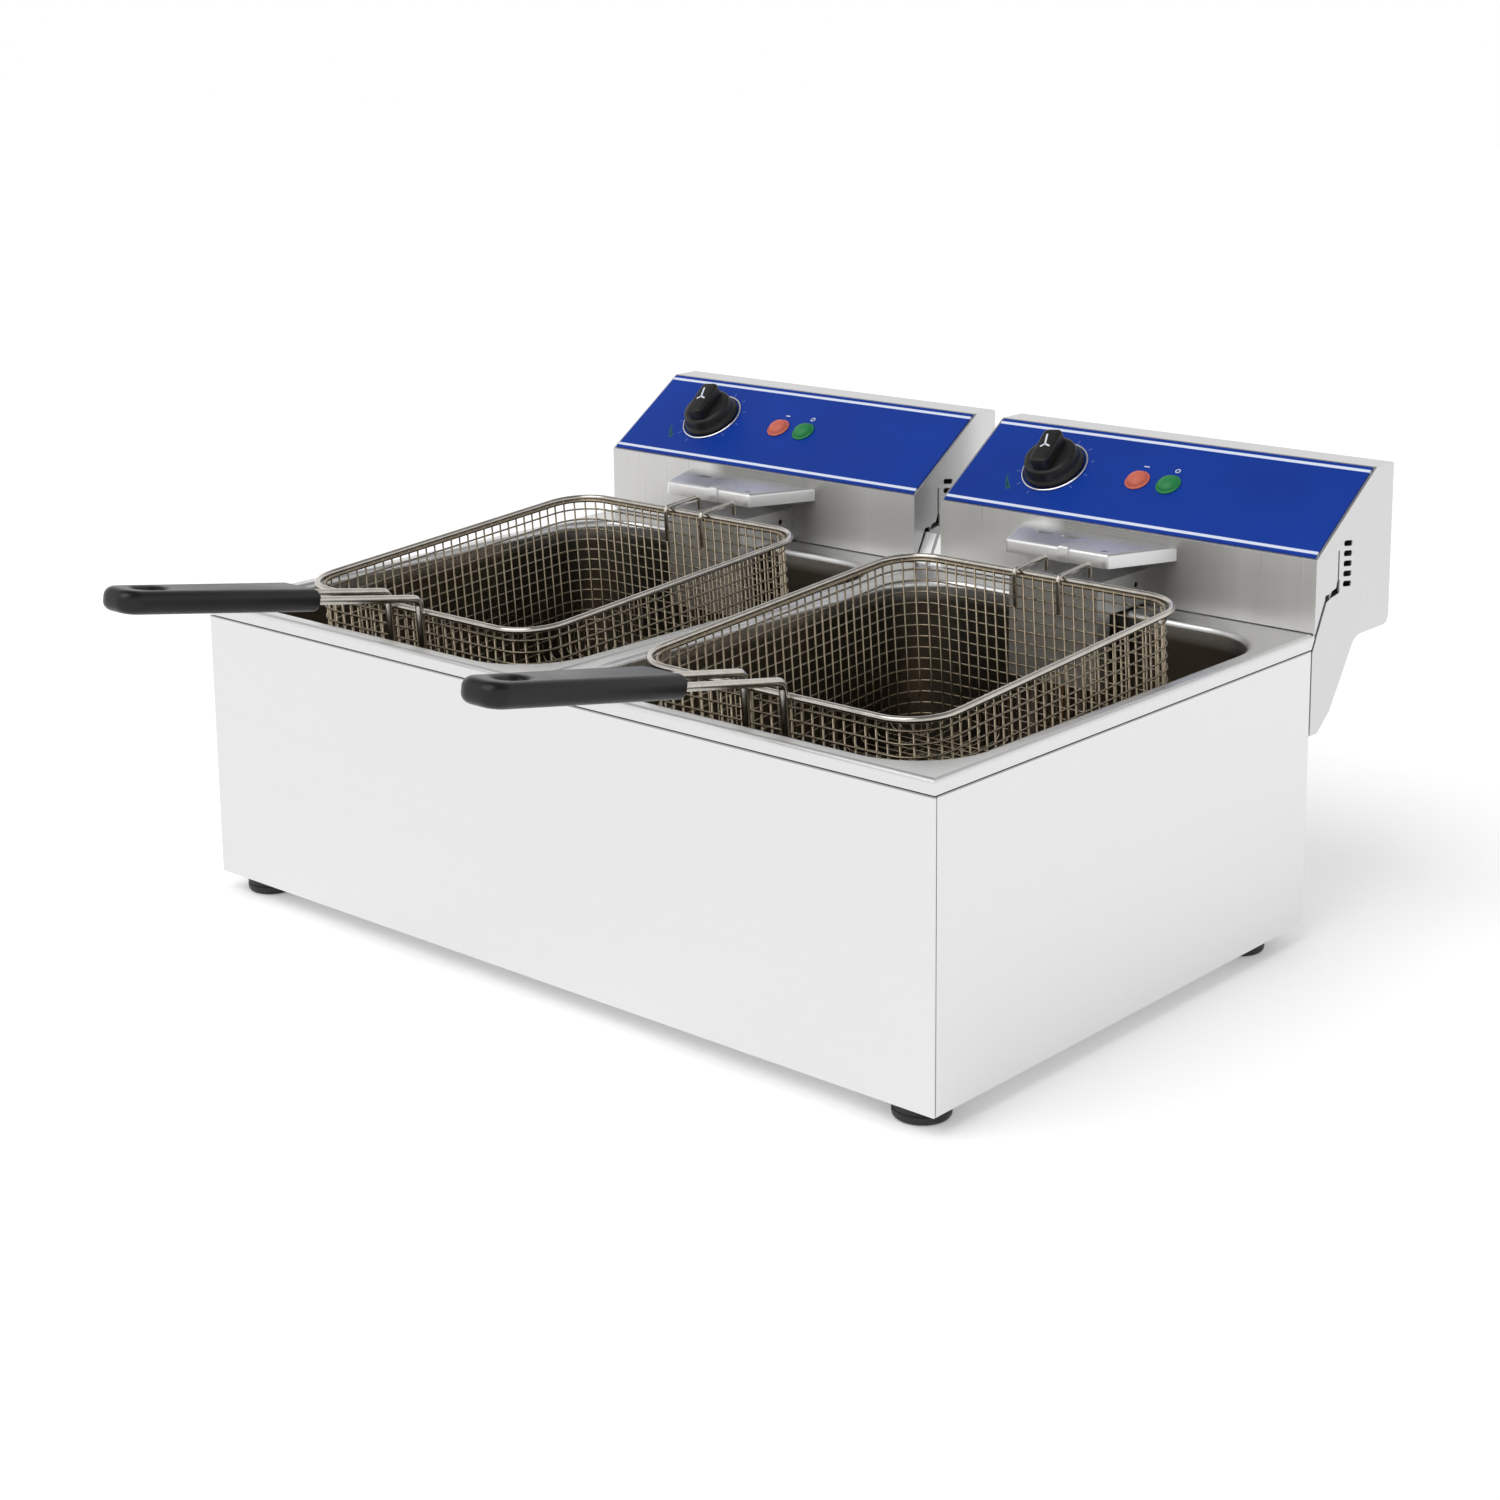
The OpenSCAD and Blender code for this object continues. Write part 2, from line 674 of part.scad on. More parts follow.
module heating_element(s) {
    runs = heater_runs;
    gap = 36;
    near = front_y + 62;
    far = leg_y - 10;
    turn_r = gap / 2;
    first = -(runs - 1) * gap / 2;
    // runs to and fro at one height, the two middle runs joined to the legs by short cross bends
    flat = [for (i = [0:runs - 1], e = [0, 1])
        [first + i * gap, (i % 2 == e) ? far - 16 : near]];
    color("slategray") translate([s * well_x + bracket_x, 0, 0]) {
        translate([0, 0, heater_z]) bent_rod(concat(
            [[-leg_apart / 2, far], [-leg_apart / 2, far - 8], [first, far - 8]],
            [for (i = [1:len(flat) - 2]) flat[i]],
            [[-first, far - 8], [leg_apart / 2, far - 8], [leg_apart / 2, far]]
        ), tube_d, 7.9);
        for (k = [-1, 1]) translate([k * leg_apart / 2, 0, 0]) rotate([90, 0, 90]) bent_rod([
            [far, heater_z], [leg_y, heater_z], [leg_y, leg_z], [rear_y + 40, leg_z]
        ], tube_d, 9);
    }
}

module limiter(s) {
    color("ivory") translate([s * head_x, 0, 0]) reset_spot() {
        translate([0, 0, -sheet - 16.2]) difference() {
            cylinder(h = 16, d = 24);
            translate([0, 0, 8]) cylinder(h = 20, d = 7.6);
        }
    }
}

module reset_button(s) {
    color("firebrick") translate([s * head_x, 0, 0]) reset_spot()
        translate([0, 0, -5.4]) cylinder(h = 8, d = 6.8);
}

module terminal_block(s) {
    color("white") translate([s * head_x + 60, back_y - 34, box_z + 3.5]) difference() {
        cube([56, 20, 16]);
        for (k = [0:4]) translate([8 + k * 10, 10, 8]) cylinder(h = 20, d = 5, $fn = 24);
    }
}

module contactor(s) {
    color("darkgray") translate([s * head_x - 50, back_y - 46, box_z + 3.5]) {
        cube([46, 40, 52]);
        translate([5, -4, 12]) cube([36, 5, 28]);
    }
}

module microswitch(s) {
    z = lip_top_z + sheet + 2.2;
    color("dimgray") translate([s * head_x + 84, lip_y(lip_top_z) - 2, z]) {
        cube([20, 7, 10]);
        translate([4, 2, 10]) cube([3, 3, 5]);
        translate([13, 2, 10]) cube([3, 3, 5]);
    }
}

module cable_gland(s) {
    color("black") translate([s * head_x, 0, 0]) gland_spot() difference() {
        union() {
            translate([0, 0, 0.1]) cylinder(h = 6, d = 24, $fn = 6);
            translate([0, 0, 6]) cylinder(h = 14, d1 = 20, d2 = 15);
            translate([0, 0, -12]) cylinder(h = 12.2, d = 16);
            translate([0, 0, -5 - sheet]) cylinder(h = 4.8, d = 23, $fn = 6);
        }
        translate([0, 0, -13]) cylinder(h = 40, d = 10);
    }
}

module back_screws(s) {
    color("dimgray") translate([s * head_x, 0, 0]) back_screw_spots() {
        translate([0, 0, -7]) cylinder(h = 7.1, d = 3);
        translate([0, 0, 0.1]) cylinder(h = 2, d = 6.4);
    }
}

// ---- baskets ----

// basket frame: origin at the middle of the rim wire's plane, tilted as it hangs
module hung(s) {
    translate([s * well_x + basket_x, basket_y, basket_z]) rotate([basket_tilt, 0, 0]) children();
}

// flat mat of crossed wires in the X-Z plane, hanging from z = 0, outer layer on the +Y side
module mat(w, h) {
    nx = round(w / mesh_pitch);
    nz = round(h / mesh_pitch);
    half = strip_w / 2;
    for (i = [1:nx - 1])
        translate([(i / nx - 0.5) * w, 0, half - h]) cylinder(h = h - strip_w, d = mesh_d, $fn = 16);
    for (k = [1:nz - 1])
        translate([half - w / 2, layer, -k * h / nz]) rotate([0, 90, 0])
            cylinder(h = w - strip_w, d = mesh_d, $fn = 16);
    translate([0, layer / 2, -h / 2]) rotate([90, 0, 0]) linear_extrude(strip_t, center = true)
        difference() {
            square([w, h], center = true);
            square([w - 2 * strip_w, h - 2 * strip_w], center = true);
        }
}

// quarter-round mat for a corner, its wires at radius r over 90 degrees from +X
module corner_mat(r, h) {
    n = 5;
    nz = round(h / mesh_pitch);
    half = strip_w / 2;
    edge = asin((half + mm_gap) / r);
    span = 90 - 2 * edge;
    for (i = [1:n - 1]) rotate([0, 0, i * 90 / n])
        translate([r, 0, half - h]) cylinder(h = h - strip_w, d = mesh_d, $fn = 16);
    for (k = [1:nz - 1]) translate([0, 0, -k * h / nz]) rotate([0, 0, edge])
        rotate_extrude(angle = span) translate([r + layer, 0]) circle(d = mesh_d, $fn = 16);
    for (z = [-half, half - h]) translate([0, 0, z]) rotate([0, 0, edge])
        rotate_extrude(angle = span) translate([r + layer / 2, 0]) square([strip_t, strip_w], center = true);
    for (a = [edge, 90 - edge]) rotate([0, 0, a])
        translate([r + layer / 2, 0, -h / 2]) cube([strip_t, strip_w, h], center = true);
}

// half length of a floor wire at distance u from the middle of a rounded rectangle
function reach(half_run, half_across, r, u) =
    abs(u) < half_across - r ? half_run
    : half_run - r + sqrt(max(r * r - pow(abs(u) - half_across + r, 2), 0));

module floor_mat(w, l, r) {
    nx = round(w / mesh_pitch);
    ny = round(l / mesh_pitch);
    half = strip_w / 2;
    linear_extrude(strip_t, center = true) difference() {
        rounded_rect(w, l, r);
        rounded_rect(w - 2 * strip_w, l - 2 * strip_w, r - strip_w);
    }
    for (i = [1:nx - 1]) let (u = (i / nx - 0.5) * w, run = reach(l / 2, w / 2, r, u) - half)
        translate([u, -run, layer / 2]) rotate([-90, 0, 0]) cylinder(h = 2 * run, d = mesh_d, $fn = 16);
    for (i = [1:ny - 1]) let (u = (i / ny - 0.5) * l, run = reach(w / 2, l / 2, r, u) - half)
        translate([-run, u, -layer / 2]) rotate([0, 90, 0]) cylinder(h = 2 * run, d = mesh_d, $fn = 16);
}

module basket_mesh(s) {
    h = basket_h - strip_t - mm_gap;
    flat_x = mesh_w - 2 * mesh_r;
    flat_y = mesh_l - 2 * mesh_r;
    color("darkkhaki") hung(s) {
        for (a = [0, 180]) rotate([0, 0, a]) translate([0, mesh_l / 2, 0]) mat(flat_x, h);
        for (a = [90, 270]) rotate([0, 0, a]) translate([0, mesh_w / 2, 0]) mat(flat_y, h);
        for (kx = [0, 1], ky = [0, 1]) mirror([kx, 0, 0]) mirror([0, ky, 0])
            translate([mesh_w / 2 - mesh_r, mesh_l / 2 - mesh_r, 0]) corner_mat(mesh_r, h);
        translate([0, 0, strip_t / 2 - basket_h]) floor_mat(mesh_w, mesh_l, mesh_r);
    }
}

// rim wire, the handle wires with their legs and cross wires, and the two rear hooks
module basket_frame(s) {
    leg_y = -basket_l / 2 - leg_out;
    rise = handle_rise + basket_tilt;
    run = handle_free + socket_l - 2;
    hook_in = basket_l / 2 - mesh_in - (mesh_d + hook_d) / 2 - 0.2;
    hook_z = (rim_d + hook_d) / 2 - 0.25;
    rest_z = (cover_z + hook_d / 2 + 0.5 - basket_z - (cover_front_y - basket_y) * sin(basket_tilt))
        / cos(basket_tilt);
    color("tan") hung(s) {
        rod_ring(basket_w, basket_l, basket_r, rim_d);
        for (k = [-1, 1]) {
            translate([k * handle_apart / 2, leg_y, 0]) {
                translate([0, 0, -leg_down]) cylinder(h = leg_down + handle_up, d = handle_d);
                translate([0, 0, handle_up]) {
                    sphere(d = handle_d + 0.1);
                    rotate([90 - rise, 0, 0]) cylinder(h = run, d = handle_d);
                }
            }
            translate([k * hook_apart / 2, 0, 0]) rotate([90, 0, 90]) bent_rod([
                [hook_in, -20], [hook_in, hook_z], [basket_l / 2 + 27, hook_z],
                [basket_l / 2 + 27, rest_z]
            ], hook_d, 3);
        }
        for (z = [-leg_down + 5, -30]) translate([0, leg_y + leg_out - 0.3, z]) rotate([0, 90, 0])
            cylinder(h = handle_apart + 10, d = rim_d, center = true);
    }
}

// grip frame: origin where the wires leave the grip, +X along the grip away from the basket
module basket_grip(s) {
    leg_y = -basket_l / 2 - leg_out;
    rise = handle_rise + basket_tilt;
    round_r = 5;
    end_r = 11;
    color("black") hung(s) translate([0, leg_y, handle_up]) rotate([0, -rise, -90])
        translate([handle_free, 0, 0]) difference() {
            hull() {
                for (y = [-1, 1], z = [-1, 1])
                    translate([0, y * (grip_w / 2 - round_r), z * (grip_t / 2 - round_r)])
                        rotate([0, 90, 0]) cylinder(h = 1, r = round_r, $fn = 24);
                for (y = [-1, 1], z = [-1, 1], a = [0, 30, 60, 90])
                    translate([
                        grip_l - end_r + (end_r - round_r) * cos(a),
                        y * (grip_w / 2 - end_r + (end_r - round_r) * sin(a)),
                        z * (grip_t / 2 - round_r)
                    ]) sphere(round_r, $fn = 24);
            }
            for (k = [-1, 1]) translate([-1, k * handle_apart / 2, 0]) rotate([0, 90, 0])
                cylinder(h = socket_l + 1, d = handle_d + 0.06);
            translate([grip_l - 27, 0, -grip_t]) linear_extrude(2 * grip_t) slot_shape(26, 9);
        }
}

base_pan();
front_panel();
side_panel(-1);  // left_side_panel
side_panel(1);  // right_side_panel
rear_panel();
centre_rail();
feet();
foot_screws();
well(-1);  // left_well
head_case(-1);  // left_head_case
head_back(-1);  // left_head_back
head_tray(-1);  // left_head_tray
fascia(-1);  // left_fascia
knob(-1);  // left_knob
spindle(-1);  // left_spindle
knob_ring(-1);  // left_knob_ring
lamp(-1, red_x, "orangered");  // left_red_lamp
lamp(-1, green_x, "seagreen");  // left_green_lamp
thermostat(-1);  // left_thermostat
sensors(-1);  // left_sensors
hanger_shelf(-1);  // left_hanger_shelf
element_cover(-1);  // left_element_cover
heating_element(-1);  // left_heating_element
limiter(-1);  // left_limiter
reset_button(-1);  // left_reset_button
terminal_block(-1);  // left_terminal_block
contactor(-1);  // left_contactor
microswitch(-1);  // left_microswitch
cable_gland(-1);  // left_cable_gland
back_screws(-1);  // left_back_screws
basket_frame(-1);  // left_basket_frame
basket_mesh(-1);  // left_basket_mesh
basket_grip(-1);  // left_basket_grip
well(1);  // right_well
head_case(1);  // right_head_case
head_back(1);  // right_head_back
head_tray(1);  // right_head_tray
fascia(1);  // right_fascia
knob(1);  // right_knob
spindle(1);  // right_spindle
knob_ring(1);  // right_knob_ring
lamp(1, red_x, "orangered");  // right_red_lamp
lamp(1, green_x, "seagreen");  // right_green_lamp
thermostat(1);  // right_thermostat
sensors(1);  // right_sensors
hanger_shelf(1);  // right_hanger_shelf
element_cover(1);  // right_element_cover
heating_element(1);  // right_heating_element
limiter(1);  // right_limiter
reset_button(1);  // right_reset_button
terminal_block(1);  // right_terminal_block
contactor(1);  // right_contactor
microswitch(1);  // right_microswitch
cable_gland(1);  // right_cable_gland
back_screws(1);  // right_back_screws
basket_frame(1);  // right_basket_frame
basket_mesh(1);  // right_basket_mesh
basket_grip(1);  // right_basket_grip
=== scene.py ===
import math

import bpy
from mathutils import Matrix, Vector
from mathutils.geometry import tessellate_polygon


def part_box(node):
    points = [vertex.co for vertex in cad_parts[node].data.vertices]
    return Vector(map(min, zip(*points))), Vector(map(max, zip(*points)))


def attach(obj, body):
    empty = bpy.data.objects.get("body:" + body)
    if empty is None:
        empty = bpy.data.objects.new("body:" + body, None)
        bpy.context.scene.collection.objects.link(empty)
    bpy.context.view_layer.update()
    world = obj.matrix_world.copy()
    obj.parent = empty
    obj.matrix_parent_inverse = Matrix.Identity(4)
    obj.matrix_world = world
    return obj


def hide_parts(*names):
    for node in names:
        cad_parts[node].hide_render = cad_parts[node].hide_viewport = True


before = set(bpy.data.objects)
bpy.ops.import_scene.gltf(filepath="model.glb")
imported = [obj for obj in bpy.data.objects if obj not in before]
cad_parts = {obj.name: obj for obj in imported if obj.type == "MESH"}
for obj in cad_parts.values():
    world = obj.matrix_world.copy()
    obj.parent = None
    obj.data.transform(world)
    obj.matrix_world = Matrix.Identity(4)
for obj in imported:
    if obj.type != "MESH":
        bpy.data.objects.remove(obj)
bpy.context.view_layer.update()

scene = bpy.context.scene
mm = 0.001
units = (("left", -1), ("right", 1))
wellMiddle = (145.15 * mm, 27 * mm)  # of the right well; the left one is as far on the other side
print("frame loaded:", len(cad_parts), "nodes")

cameraSet = {
    "place": (1.0652, -1.1513, 0.5941),
    "azimuth": 41.80,
    "elevation": 11.75,
    "roll": -0.62,
    "sensor": 36,
    "lens": 64.33,
    "shiftY": -0.165,  # small, because every other view keeps it
}


def makeCamera(c):
    data = bpy.data.cameras.new("camera")
    data.sensor_width = c["sensor"]
    data.lens = c["lens"]
    data.shift_y = c["shiftY"]
    camera = bpy.data.objects.new("camera", data)
    scene.collection.objects.link(camera)
    scene.camera = camera
    az, el, roll = (math.radians(c[k]) for k in ("azimuth", "elevation", "roll"))
    back = Vector((math.sin(az) * math.cos(el), -math.cos(az) * math.cos(el), math.sin(el)))
    across = Vector((math.cos(az), math.sin(az), 0))
    turn = Matrix((across, back.cross(across), back)).transposed()  # columns are the camera's axes
    camera.matrix_world = Matrix.Translation(c["place"]) @ (turn @ Matrix.Rotation(roll, 3, "Z")).to_4x4()


makeCamera(cameraSet)
print("camera placed")


# node helpers shared by the light, the floor and the finishes
def feed(tree, socket, value):
    # value is a number, a colour or another node's output
    if isinstance(value, (int, float)):
        socket.default_value = value
    elif isinstance(value, tuple):
        socket.default_value = (*value, 1)
    else:
        tree.links.new(value, socket)


def mathNode(tree, kind, a, b):
    node = tree.nodes.new("ShaderNodeMath")
    node.operation = kind
    feed(tree, node.inputs[0], a)
    feed(tree, node.inputs[1], b)
    return node.outputs[0]


def mapValue(tree, value, fromLow, fromHigh, low=0, high=1):
    node = tree.nodes.new("ShaderNodeMapRange")
    for name, number in (("From Min", fromLow), ("From Max", fromHigh), ("To Min", low), ("To Max", high)):
        node.inputs[name].default_value = number
    tree.links.new(value, node.inputs["Value"])
    return node.outputs["Result"]


def splitAxes(tree, kind, output):
    # X, Y and Z of what a new node of this kind puts out
    split = tree.nodes.new("ShaderNodeSeparateXYZ")
    tree.links.new(tree.nodes.new(kind).outputs[output], split.inputs[0])
    return split.outputs


def rayKinds(tree):
    # whether the camera looks, and whether a reflection or a clear body does
    path = tree.nodes.new("ShaderNodeLightPath")
    mirrored = mathNode(tree, "MAXIMUM", path.outputs["Is Glossy Ray"],
                        path.outputs["Is Transmission Ray"])
    return path.outputs["Is Camera Ray"], mirrored


def mixShaders(tree, factor, a, b):
    mix = tree.nodes.new("ShaderNodeMixShader")
    for socket, value in zip(mix.inputs, (factor, a, b)):
        tree.links.new(value, socket)
    return mix.outputs[0]


# light: an even sky, one soft sun from the front left, and a ceiling that is dark only in reflections
lightSet = {
    "sky": 0.62,
    "sunStrength": 1.25,
    "sunSoftness": 50,
    "sunFrom": (-0.18, -0.70, 1.0),
    "ceilingFrom": 0.42,  # height of a direction at which the reflected sky starts to darken
    "ceilingTo": 0.80,
    "ceilingTone": 0.22,
}


def makeLight(c):
    world = bpy.data.worlds.new("studio")
    scene.world = world
    world.use_nodes = True
    tree = world.node_tree
    tree.nodes.clear()
    lit, seen, mirror = (tree.nodes.new("ShaderNodeBackground") for _ in range(3))
    for back, strength in ((lit, c["sky"]), (seen, 1.0), (mirror, 1.0)):
        back.inputs["Color"].default_value = (1, 1, 1, 1)
        back.inputs["Strength"].default_value = strength
    height = splitAxes(tree, "ShaderNodeTexCoord", "Generated")["Z"]
    ceiling = mapValue(tree, height, c["ceilingFrom"], c["ceilingTo"], 1, c["ceilingTone"])
    tree.links.new(ceiling, mirror.inputs["Strength"])
    cameraRay, mirrored = rayKinds(tree)
    sky = mixShaders(tree, mirrored, lit.outputs[0], mirror.outputs[0])
    sky = mixShaders(tree, cameraRay, sky, seen.outputs[0])
    tree.links.new(sky, tree.nodes.new("ShaderNodeOutputWorld").inputs["Surface"])
    data = bpy.data.lights.new("sun", "SUN")
    data.energy = c["sunStrength"]
    data.angle = math.radians(c["sunSoftness"])
    sun = bpy.data.objects.new("sun", data)
    scene.collection.objects.link(sun)
    sun.rotation_mode = "QUATERNION"
    sun.rotation_quaternion = Vector(c["sunFrom"]).to_track_quat("Z", "Y")


makeLight(lightSet)
scene.view_settings.view_transform = "Standard"
print("light set")


grainHigh = 0.2 * mm  # how far a bump of full strength stands up
speckHigh = 0.1 * mm


def newFinish(name):
    mat = bpy.data.materials.new(name)
    mat.use_nodes = True
    return mat, mat.node_tree, mat.node_tree.nodes["Principled BSDF"]


def grainNoise(tree, stretch, detail, offset=(0, 0, 0)):
    coords = tree.nodes.new("ShaderNodeTexCoord")
    shift = tree.nodes.new("ShaderNodeMapping")
    shift.inputs["Scale"].default_value = stretch
    shift.inputs["Location"].default_value = offset
    noise = tree.nodes.new("ShaderNodeTexNoise")
    noise.inputs["Scale"].default_value = 1.0
    noise.inputs["Detail"].default_value = detail
    noise.inputs["Roughness"].default_value = 0.6
    tree.links.new(coords.outputs["Object"], shift.inputs["Vector"])
    tree.links.new(shift.outputs["Vector"], noise.inputs["Vector"])
    return noise.outputs["Fac"]


def toRange(tree, value, low, high):
    # noise seldom leaves 0.3 to 0.7
    return mapValue(tree, value, 0.3, 0.7, low, high)


def mixTones(tree, value, dark, light, kind="MIX"):
    mix = tree.nodes.new("ShaderNodeMix")
    mix.data_type = "RGBA"
    mix.blend_type = kind
    for name, part in (("A", dark), ("B", light), ("Factor", value)):
        feed(tree, mix.inputs[name], part)
    return mix.outputs["Result"]


def addBump(tree, bsdf, value, strength, distance):
    bump = tree.nodes.new("ShaderNodeBump")
    bump.inputs["Strength"].default_value = strength
    bump.inputs["Distance"].default_value = distance
    tree.links.new(value, bump.inputs["Height"])
    tree.links.new(bump.outputs["Normal"], bsdf.inputs["Normal"])


def scaled(rgb, k):
    return tuple(min(1.0, v * k) for v in rgb)


def objectAxes(tree):
    # where a point lies along X, Y and Z
    return splitAxes(tree, "ShaderNodeTexCoord", "Object")


def facing(tree, axis):
    return splitAxes(tree, "ShaderNodeNewGeometry", "Normal")[axis]


def fromWell(tree):
    # how far a point lies from the middle of its own well, along X and along Y
    place = objectAxes(tree)
    side = mathNode(tree, "SIGN", place["X"], 0)
    middle = mathNode(tree, "MULTIPLY", side, wellMiddle[0])
    return (mathNode(tree, "SUBTRACT", place["X"], middle),
            mathNode(tree, "SUBTRACT", place["Y"], wellMiddle[1]))


def spreadTone(tree, bsdf, noise, tone, dark, light):
    # the base colour wanders between dark and light shares of one tone
    spread = toRange(tree, noise, 0.0, 1.0)
    mixed = mixTones(tree, spread, scaled(tone, dark), scaled(tone, light))
    tree.links.new(mixed, bsdf.inputs["Base Color"])


# sheet steel: a fine grain drawn out along one axis over slow cloudy changes
sheetSet = {
    "body": {"tone": (0.765, 0.765, 0.765), "rough": 0.34, "grain": (5, 5, 1300),
             "contrast": 0.016, "bump": 0.035},
    "bracket": {"tone": (0.80, 0.80, 0.80), "rough": 0.36, "grain": (10, 700, 700),
                "contrast": 0.04, "bump": 0.06},
    "well": {"tone": (0.73, 0.73, 0.73), "rough": 0.30, "grain": (10, 800, 800),
             "contrast": 0.02, "bump": 0.03},
    "head": {"tone": (0.64, 0.64, 0.64), "rough": 0.30, "grain": (700, 700, 7),
             "contrast": 0.025, "bump": 0.03},
}
cloudSet = {"stretch": (3, 3, 3), "place": (4, 1, 7), "part": 0.3}  # the slow changes, and their share


def sheetGrain(tree, c):
    fine = grainNoise(tree, c["grain"], detail=3)
    broad = grainNoise(tree, cloudSet["stretch"], detail=2, offset=cloudSet["place"])
    mixed = mathNode(tree, "ADD", mathNode(tree, "MULTIPLY", fine, 1 - cloudSet["part"]),
                     mathNode(tree, "MULTIPLY", broad, cloudSet["part"]))
    return fine, mixed


def finishSheet(tree, bsdf, c, tone, fine, mixed):
    # tone is a colour or a socket; the grain lightens and darkens it
    k = c["contrast"]
    shade = toRange(tree, mixed, 1 - k, 1 + k)
    grey = tree.nodes.new("ShaderNodeCombineXYZ")
    for socket in grey.inputs:
        tree.links.new(shade, socket)
    tree.links.new(mixTones(tree, 1.0, tone, grey.outputs[0], "MULTIPLY"), bsdf.inputs["Base Color"])
    tree.links.new(toRange(tree, mixed, c["rough"] * 0.85, c["rough"] * 1.2), bsdf.inputs["Roughness"])
    bsdf.inputs["Metallic"].default_value = 1.0
    addBump(tree, bsdf, fine, c["bump"], grainHigh)


def sheetSteel(name, c):
    mat, tree, bsdf = newFinish(name)
    fine, mixed = sheetGrain(tree, c)
    finishSheet(tree, bsdf, c, c["tone"], fine, mixed)
    return mat


# painted shadow: the body's sheets turn in under the deck's seam, and a thin band along their top edge is
# painted dark as the shade in the gap
bodySeamShadow = {"seamShadowTone": (0.33, 0.33, 0.335), "edgeFrom": 0.1809, "edgeTo": 0.1814}


def bodyFinish(c, sheet):
    mat, tree, bsdf = newFinish("bodySteel")
    fine, mixed = sheetGrain(tree, sheet)
    # painted shadow in the seam under the deck
    edge = mapValue(tree, objectAxes(tree)["Z"], c["edgeFrom"], c["edgeTo"])
    tone = mixTones(tree, edge, sheet["tone"], c["seamShadowTone"])
    finishSheet(tree, bsdf, sheet, tone, fine, mixed)
    return mat


# a well's three tones: satin deck, bright rims and rolled edge, and a painted shade darkening the inner
# walls below it
wellSet = {
    "deckTone": (0.68, 0.68, 0.67),
    "insideShadeTone": (0.235, 0.215, 0.18),
    "deckFrom": 0.184,
    "deckFade": 0.002,
    "deckFlat": (0.75, 0.97),  # the tone begins and is full where a face looks up this much
    "insideTop": 0.1835,
    "insideFade": 0.006,
    "inwardFade": 0.01,
    "floorPart": 0.1,
}


def wellFinish(c, sheet):
    mat, tree, bsdf = newFinish("wellSteel")
    fine, mixed = sheetGrain(tree, sheet)
    height = objectAxes(tree)["Z"]
    flat = mapValue(tree, facing(tree, "Z"), *c["deckFlat"])
    deck = mathNode(tree, "MULTIPLY", flat,
                    mapValue(tree, height, c["deckFrom"], c["deckFrom"] + c["deckFade"]))
    inside = mapValue(tree, height, c["insideTop"], c["insideTop"] - c["insideFade"])
    # inner faces look towards the well's middle or up, outer ones away from it or down
    inward = mathNode(tree, "MULTIPLY", facing(tree, "Z"), c["floorPart"])
    for axis, away in zip(("X", "Y"), fromWell(tree)):
        inward = mathNode(tree, "SUBTRACT", inward,
                          mathNode(tree, "MULTIPLY", facing(tree, axis), away))
    inward = mapValue(tree, inward, 0, c["inwardFade"])
    # painted shade inside the well, on the inner faces below the rim
    inside = mathNode(tree, "MULTIPLY", inside, inward)
    tone = mixTones(tree, deck, sheet["tone"], c["deckTone"])
    tone = mixTones(tree, inside, tone, c["insideShadeTone"])
    finishSheet(tree, bsdf, sheet, tone, fine, mixed)
    return mat


# a head's front face is satin and carries a painted reflection across its width: dark beside the cover and
# shelf, light away from them, broken into soft vertical streaks; its other sides are plain
headSet = {
    "faceReflectionDark": (0.27, 0.265, 0.25),
    "faceReflectionLight": (0.74, 0.735, 0.72),
    "faceFront": (-0.8, -0.97),  # the face's painted reflection and its lower metal begin, and are full, where it looks forward this much
    # painted reflection streaks: a noise drawn out across the face, with its place and its share
    "cloud": (9, 1, 1.5),
    "cloudPlace": (2.3, 0, 0),
    "cloudPart": 0.22,
    "faceMetal": 0.45,
    "darkFrom": (-0.035, 0.040),  # from a well's middle: the face's painted reflection is darkest between these
    "darkTo": (-0.050, 0.095),
}


def headFinish(c, sheet):
    mat, tree, bsdf = newFinish("headSteel")
    fine, mixed = sheetGrain(tree, sheet)
    cloud = grainNoise(tree, c["cloud"], detail=2, offset=c["cloudPlace"])
    cloud = toRange(tree, cloud, 1 - c["cloudPart"], 1)
    # painted reflection: dark beside the cover and shelf, light away from them, dimmed in streaks by the
    # cloud
    across = fromWell(tree)[0]
    left, right = (mapValue(tree, across, a, b) for a, b in zip(c["darkFrom"], c["darkTo"]))
    light = mathNode(tree, "MULTIPLY", mathNode(tree, "MAXIMUM", left, right), cloud)
    face = mixTones(tree, light, c["faceReflectionDark"], c["faceReflectionLight"])
    front = mapValue(tree, facing(tree, "Y"), *c["faceFront"])
    tone = mixTones(tree, front, sheet["tone"], face)
    finishSheet(tree, bsdf, sheet, tone, fine, mixed)
    tree.links.new(mapValue(tree, front, 0, 1, 1.0, c["faceMetal"]), bsdf.inputs["Metallic"])
    return mat


def plainMetal(name, tone, rough, speck=60.0, contrast=0.06):
    mat, tree, bsdf = newFinish(name)
    noise = grainNoise(tree, (speck,) * 3, detail=5)
    spreadTone(tree, bsdf, noise, tone, 1 - contrast, 1 + contrast)
    tree.links.new(toRange(tree, noise, rough * 0.8, rough * 1.25), bsdf.inputs["Roughness"])
    bsdf.inputs["Metallic"].default_value = 1.0
    addBump(tree, bsdf, noise, 0.1, speckHigh)
    return mat


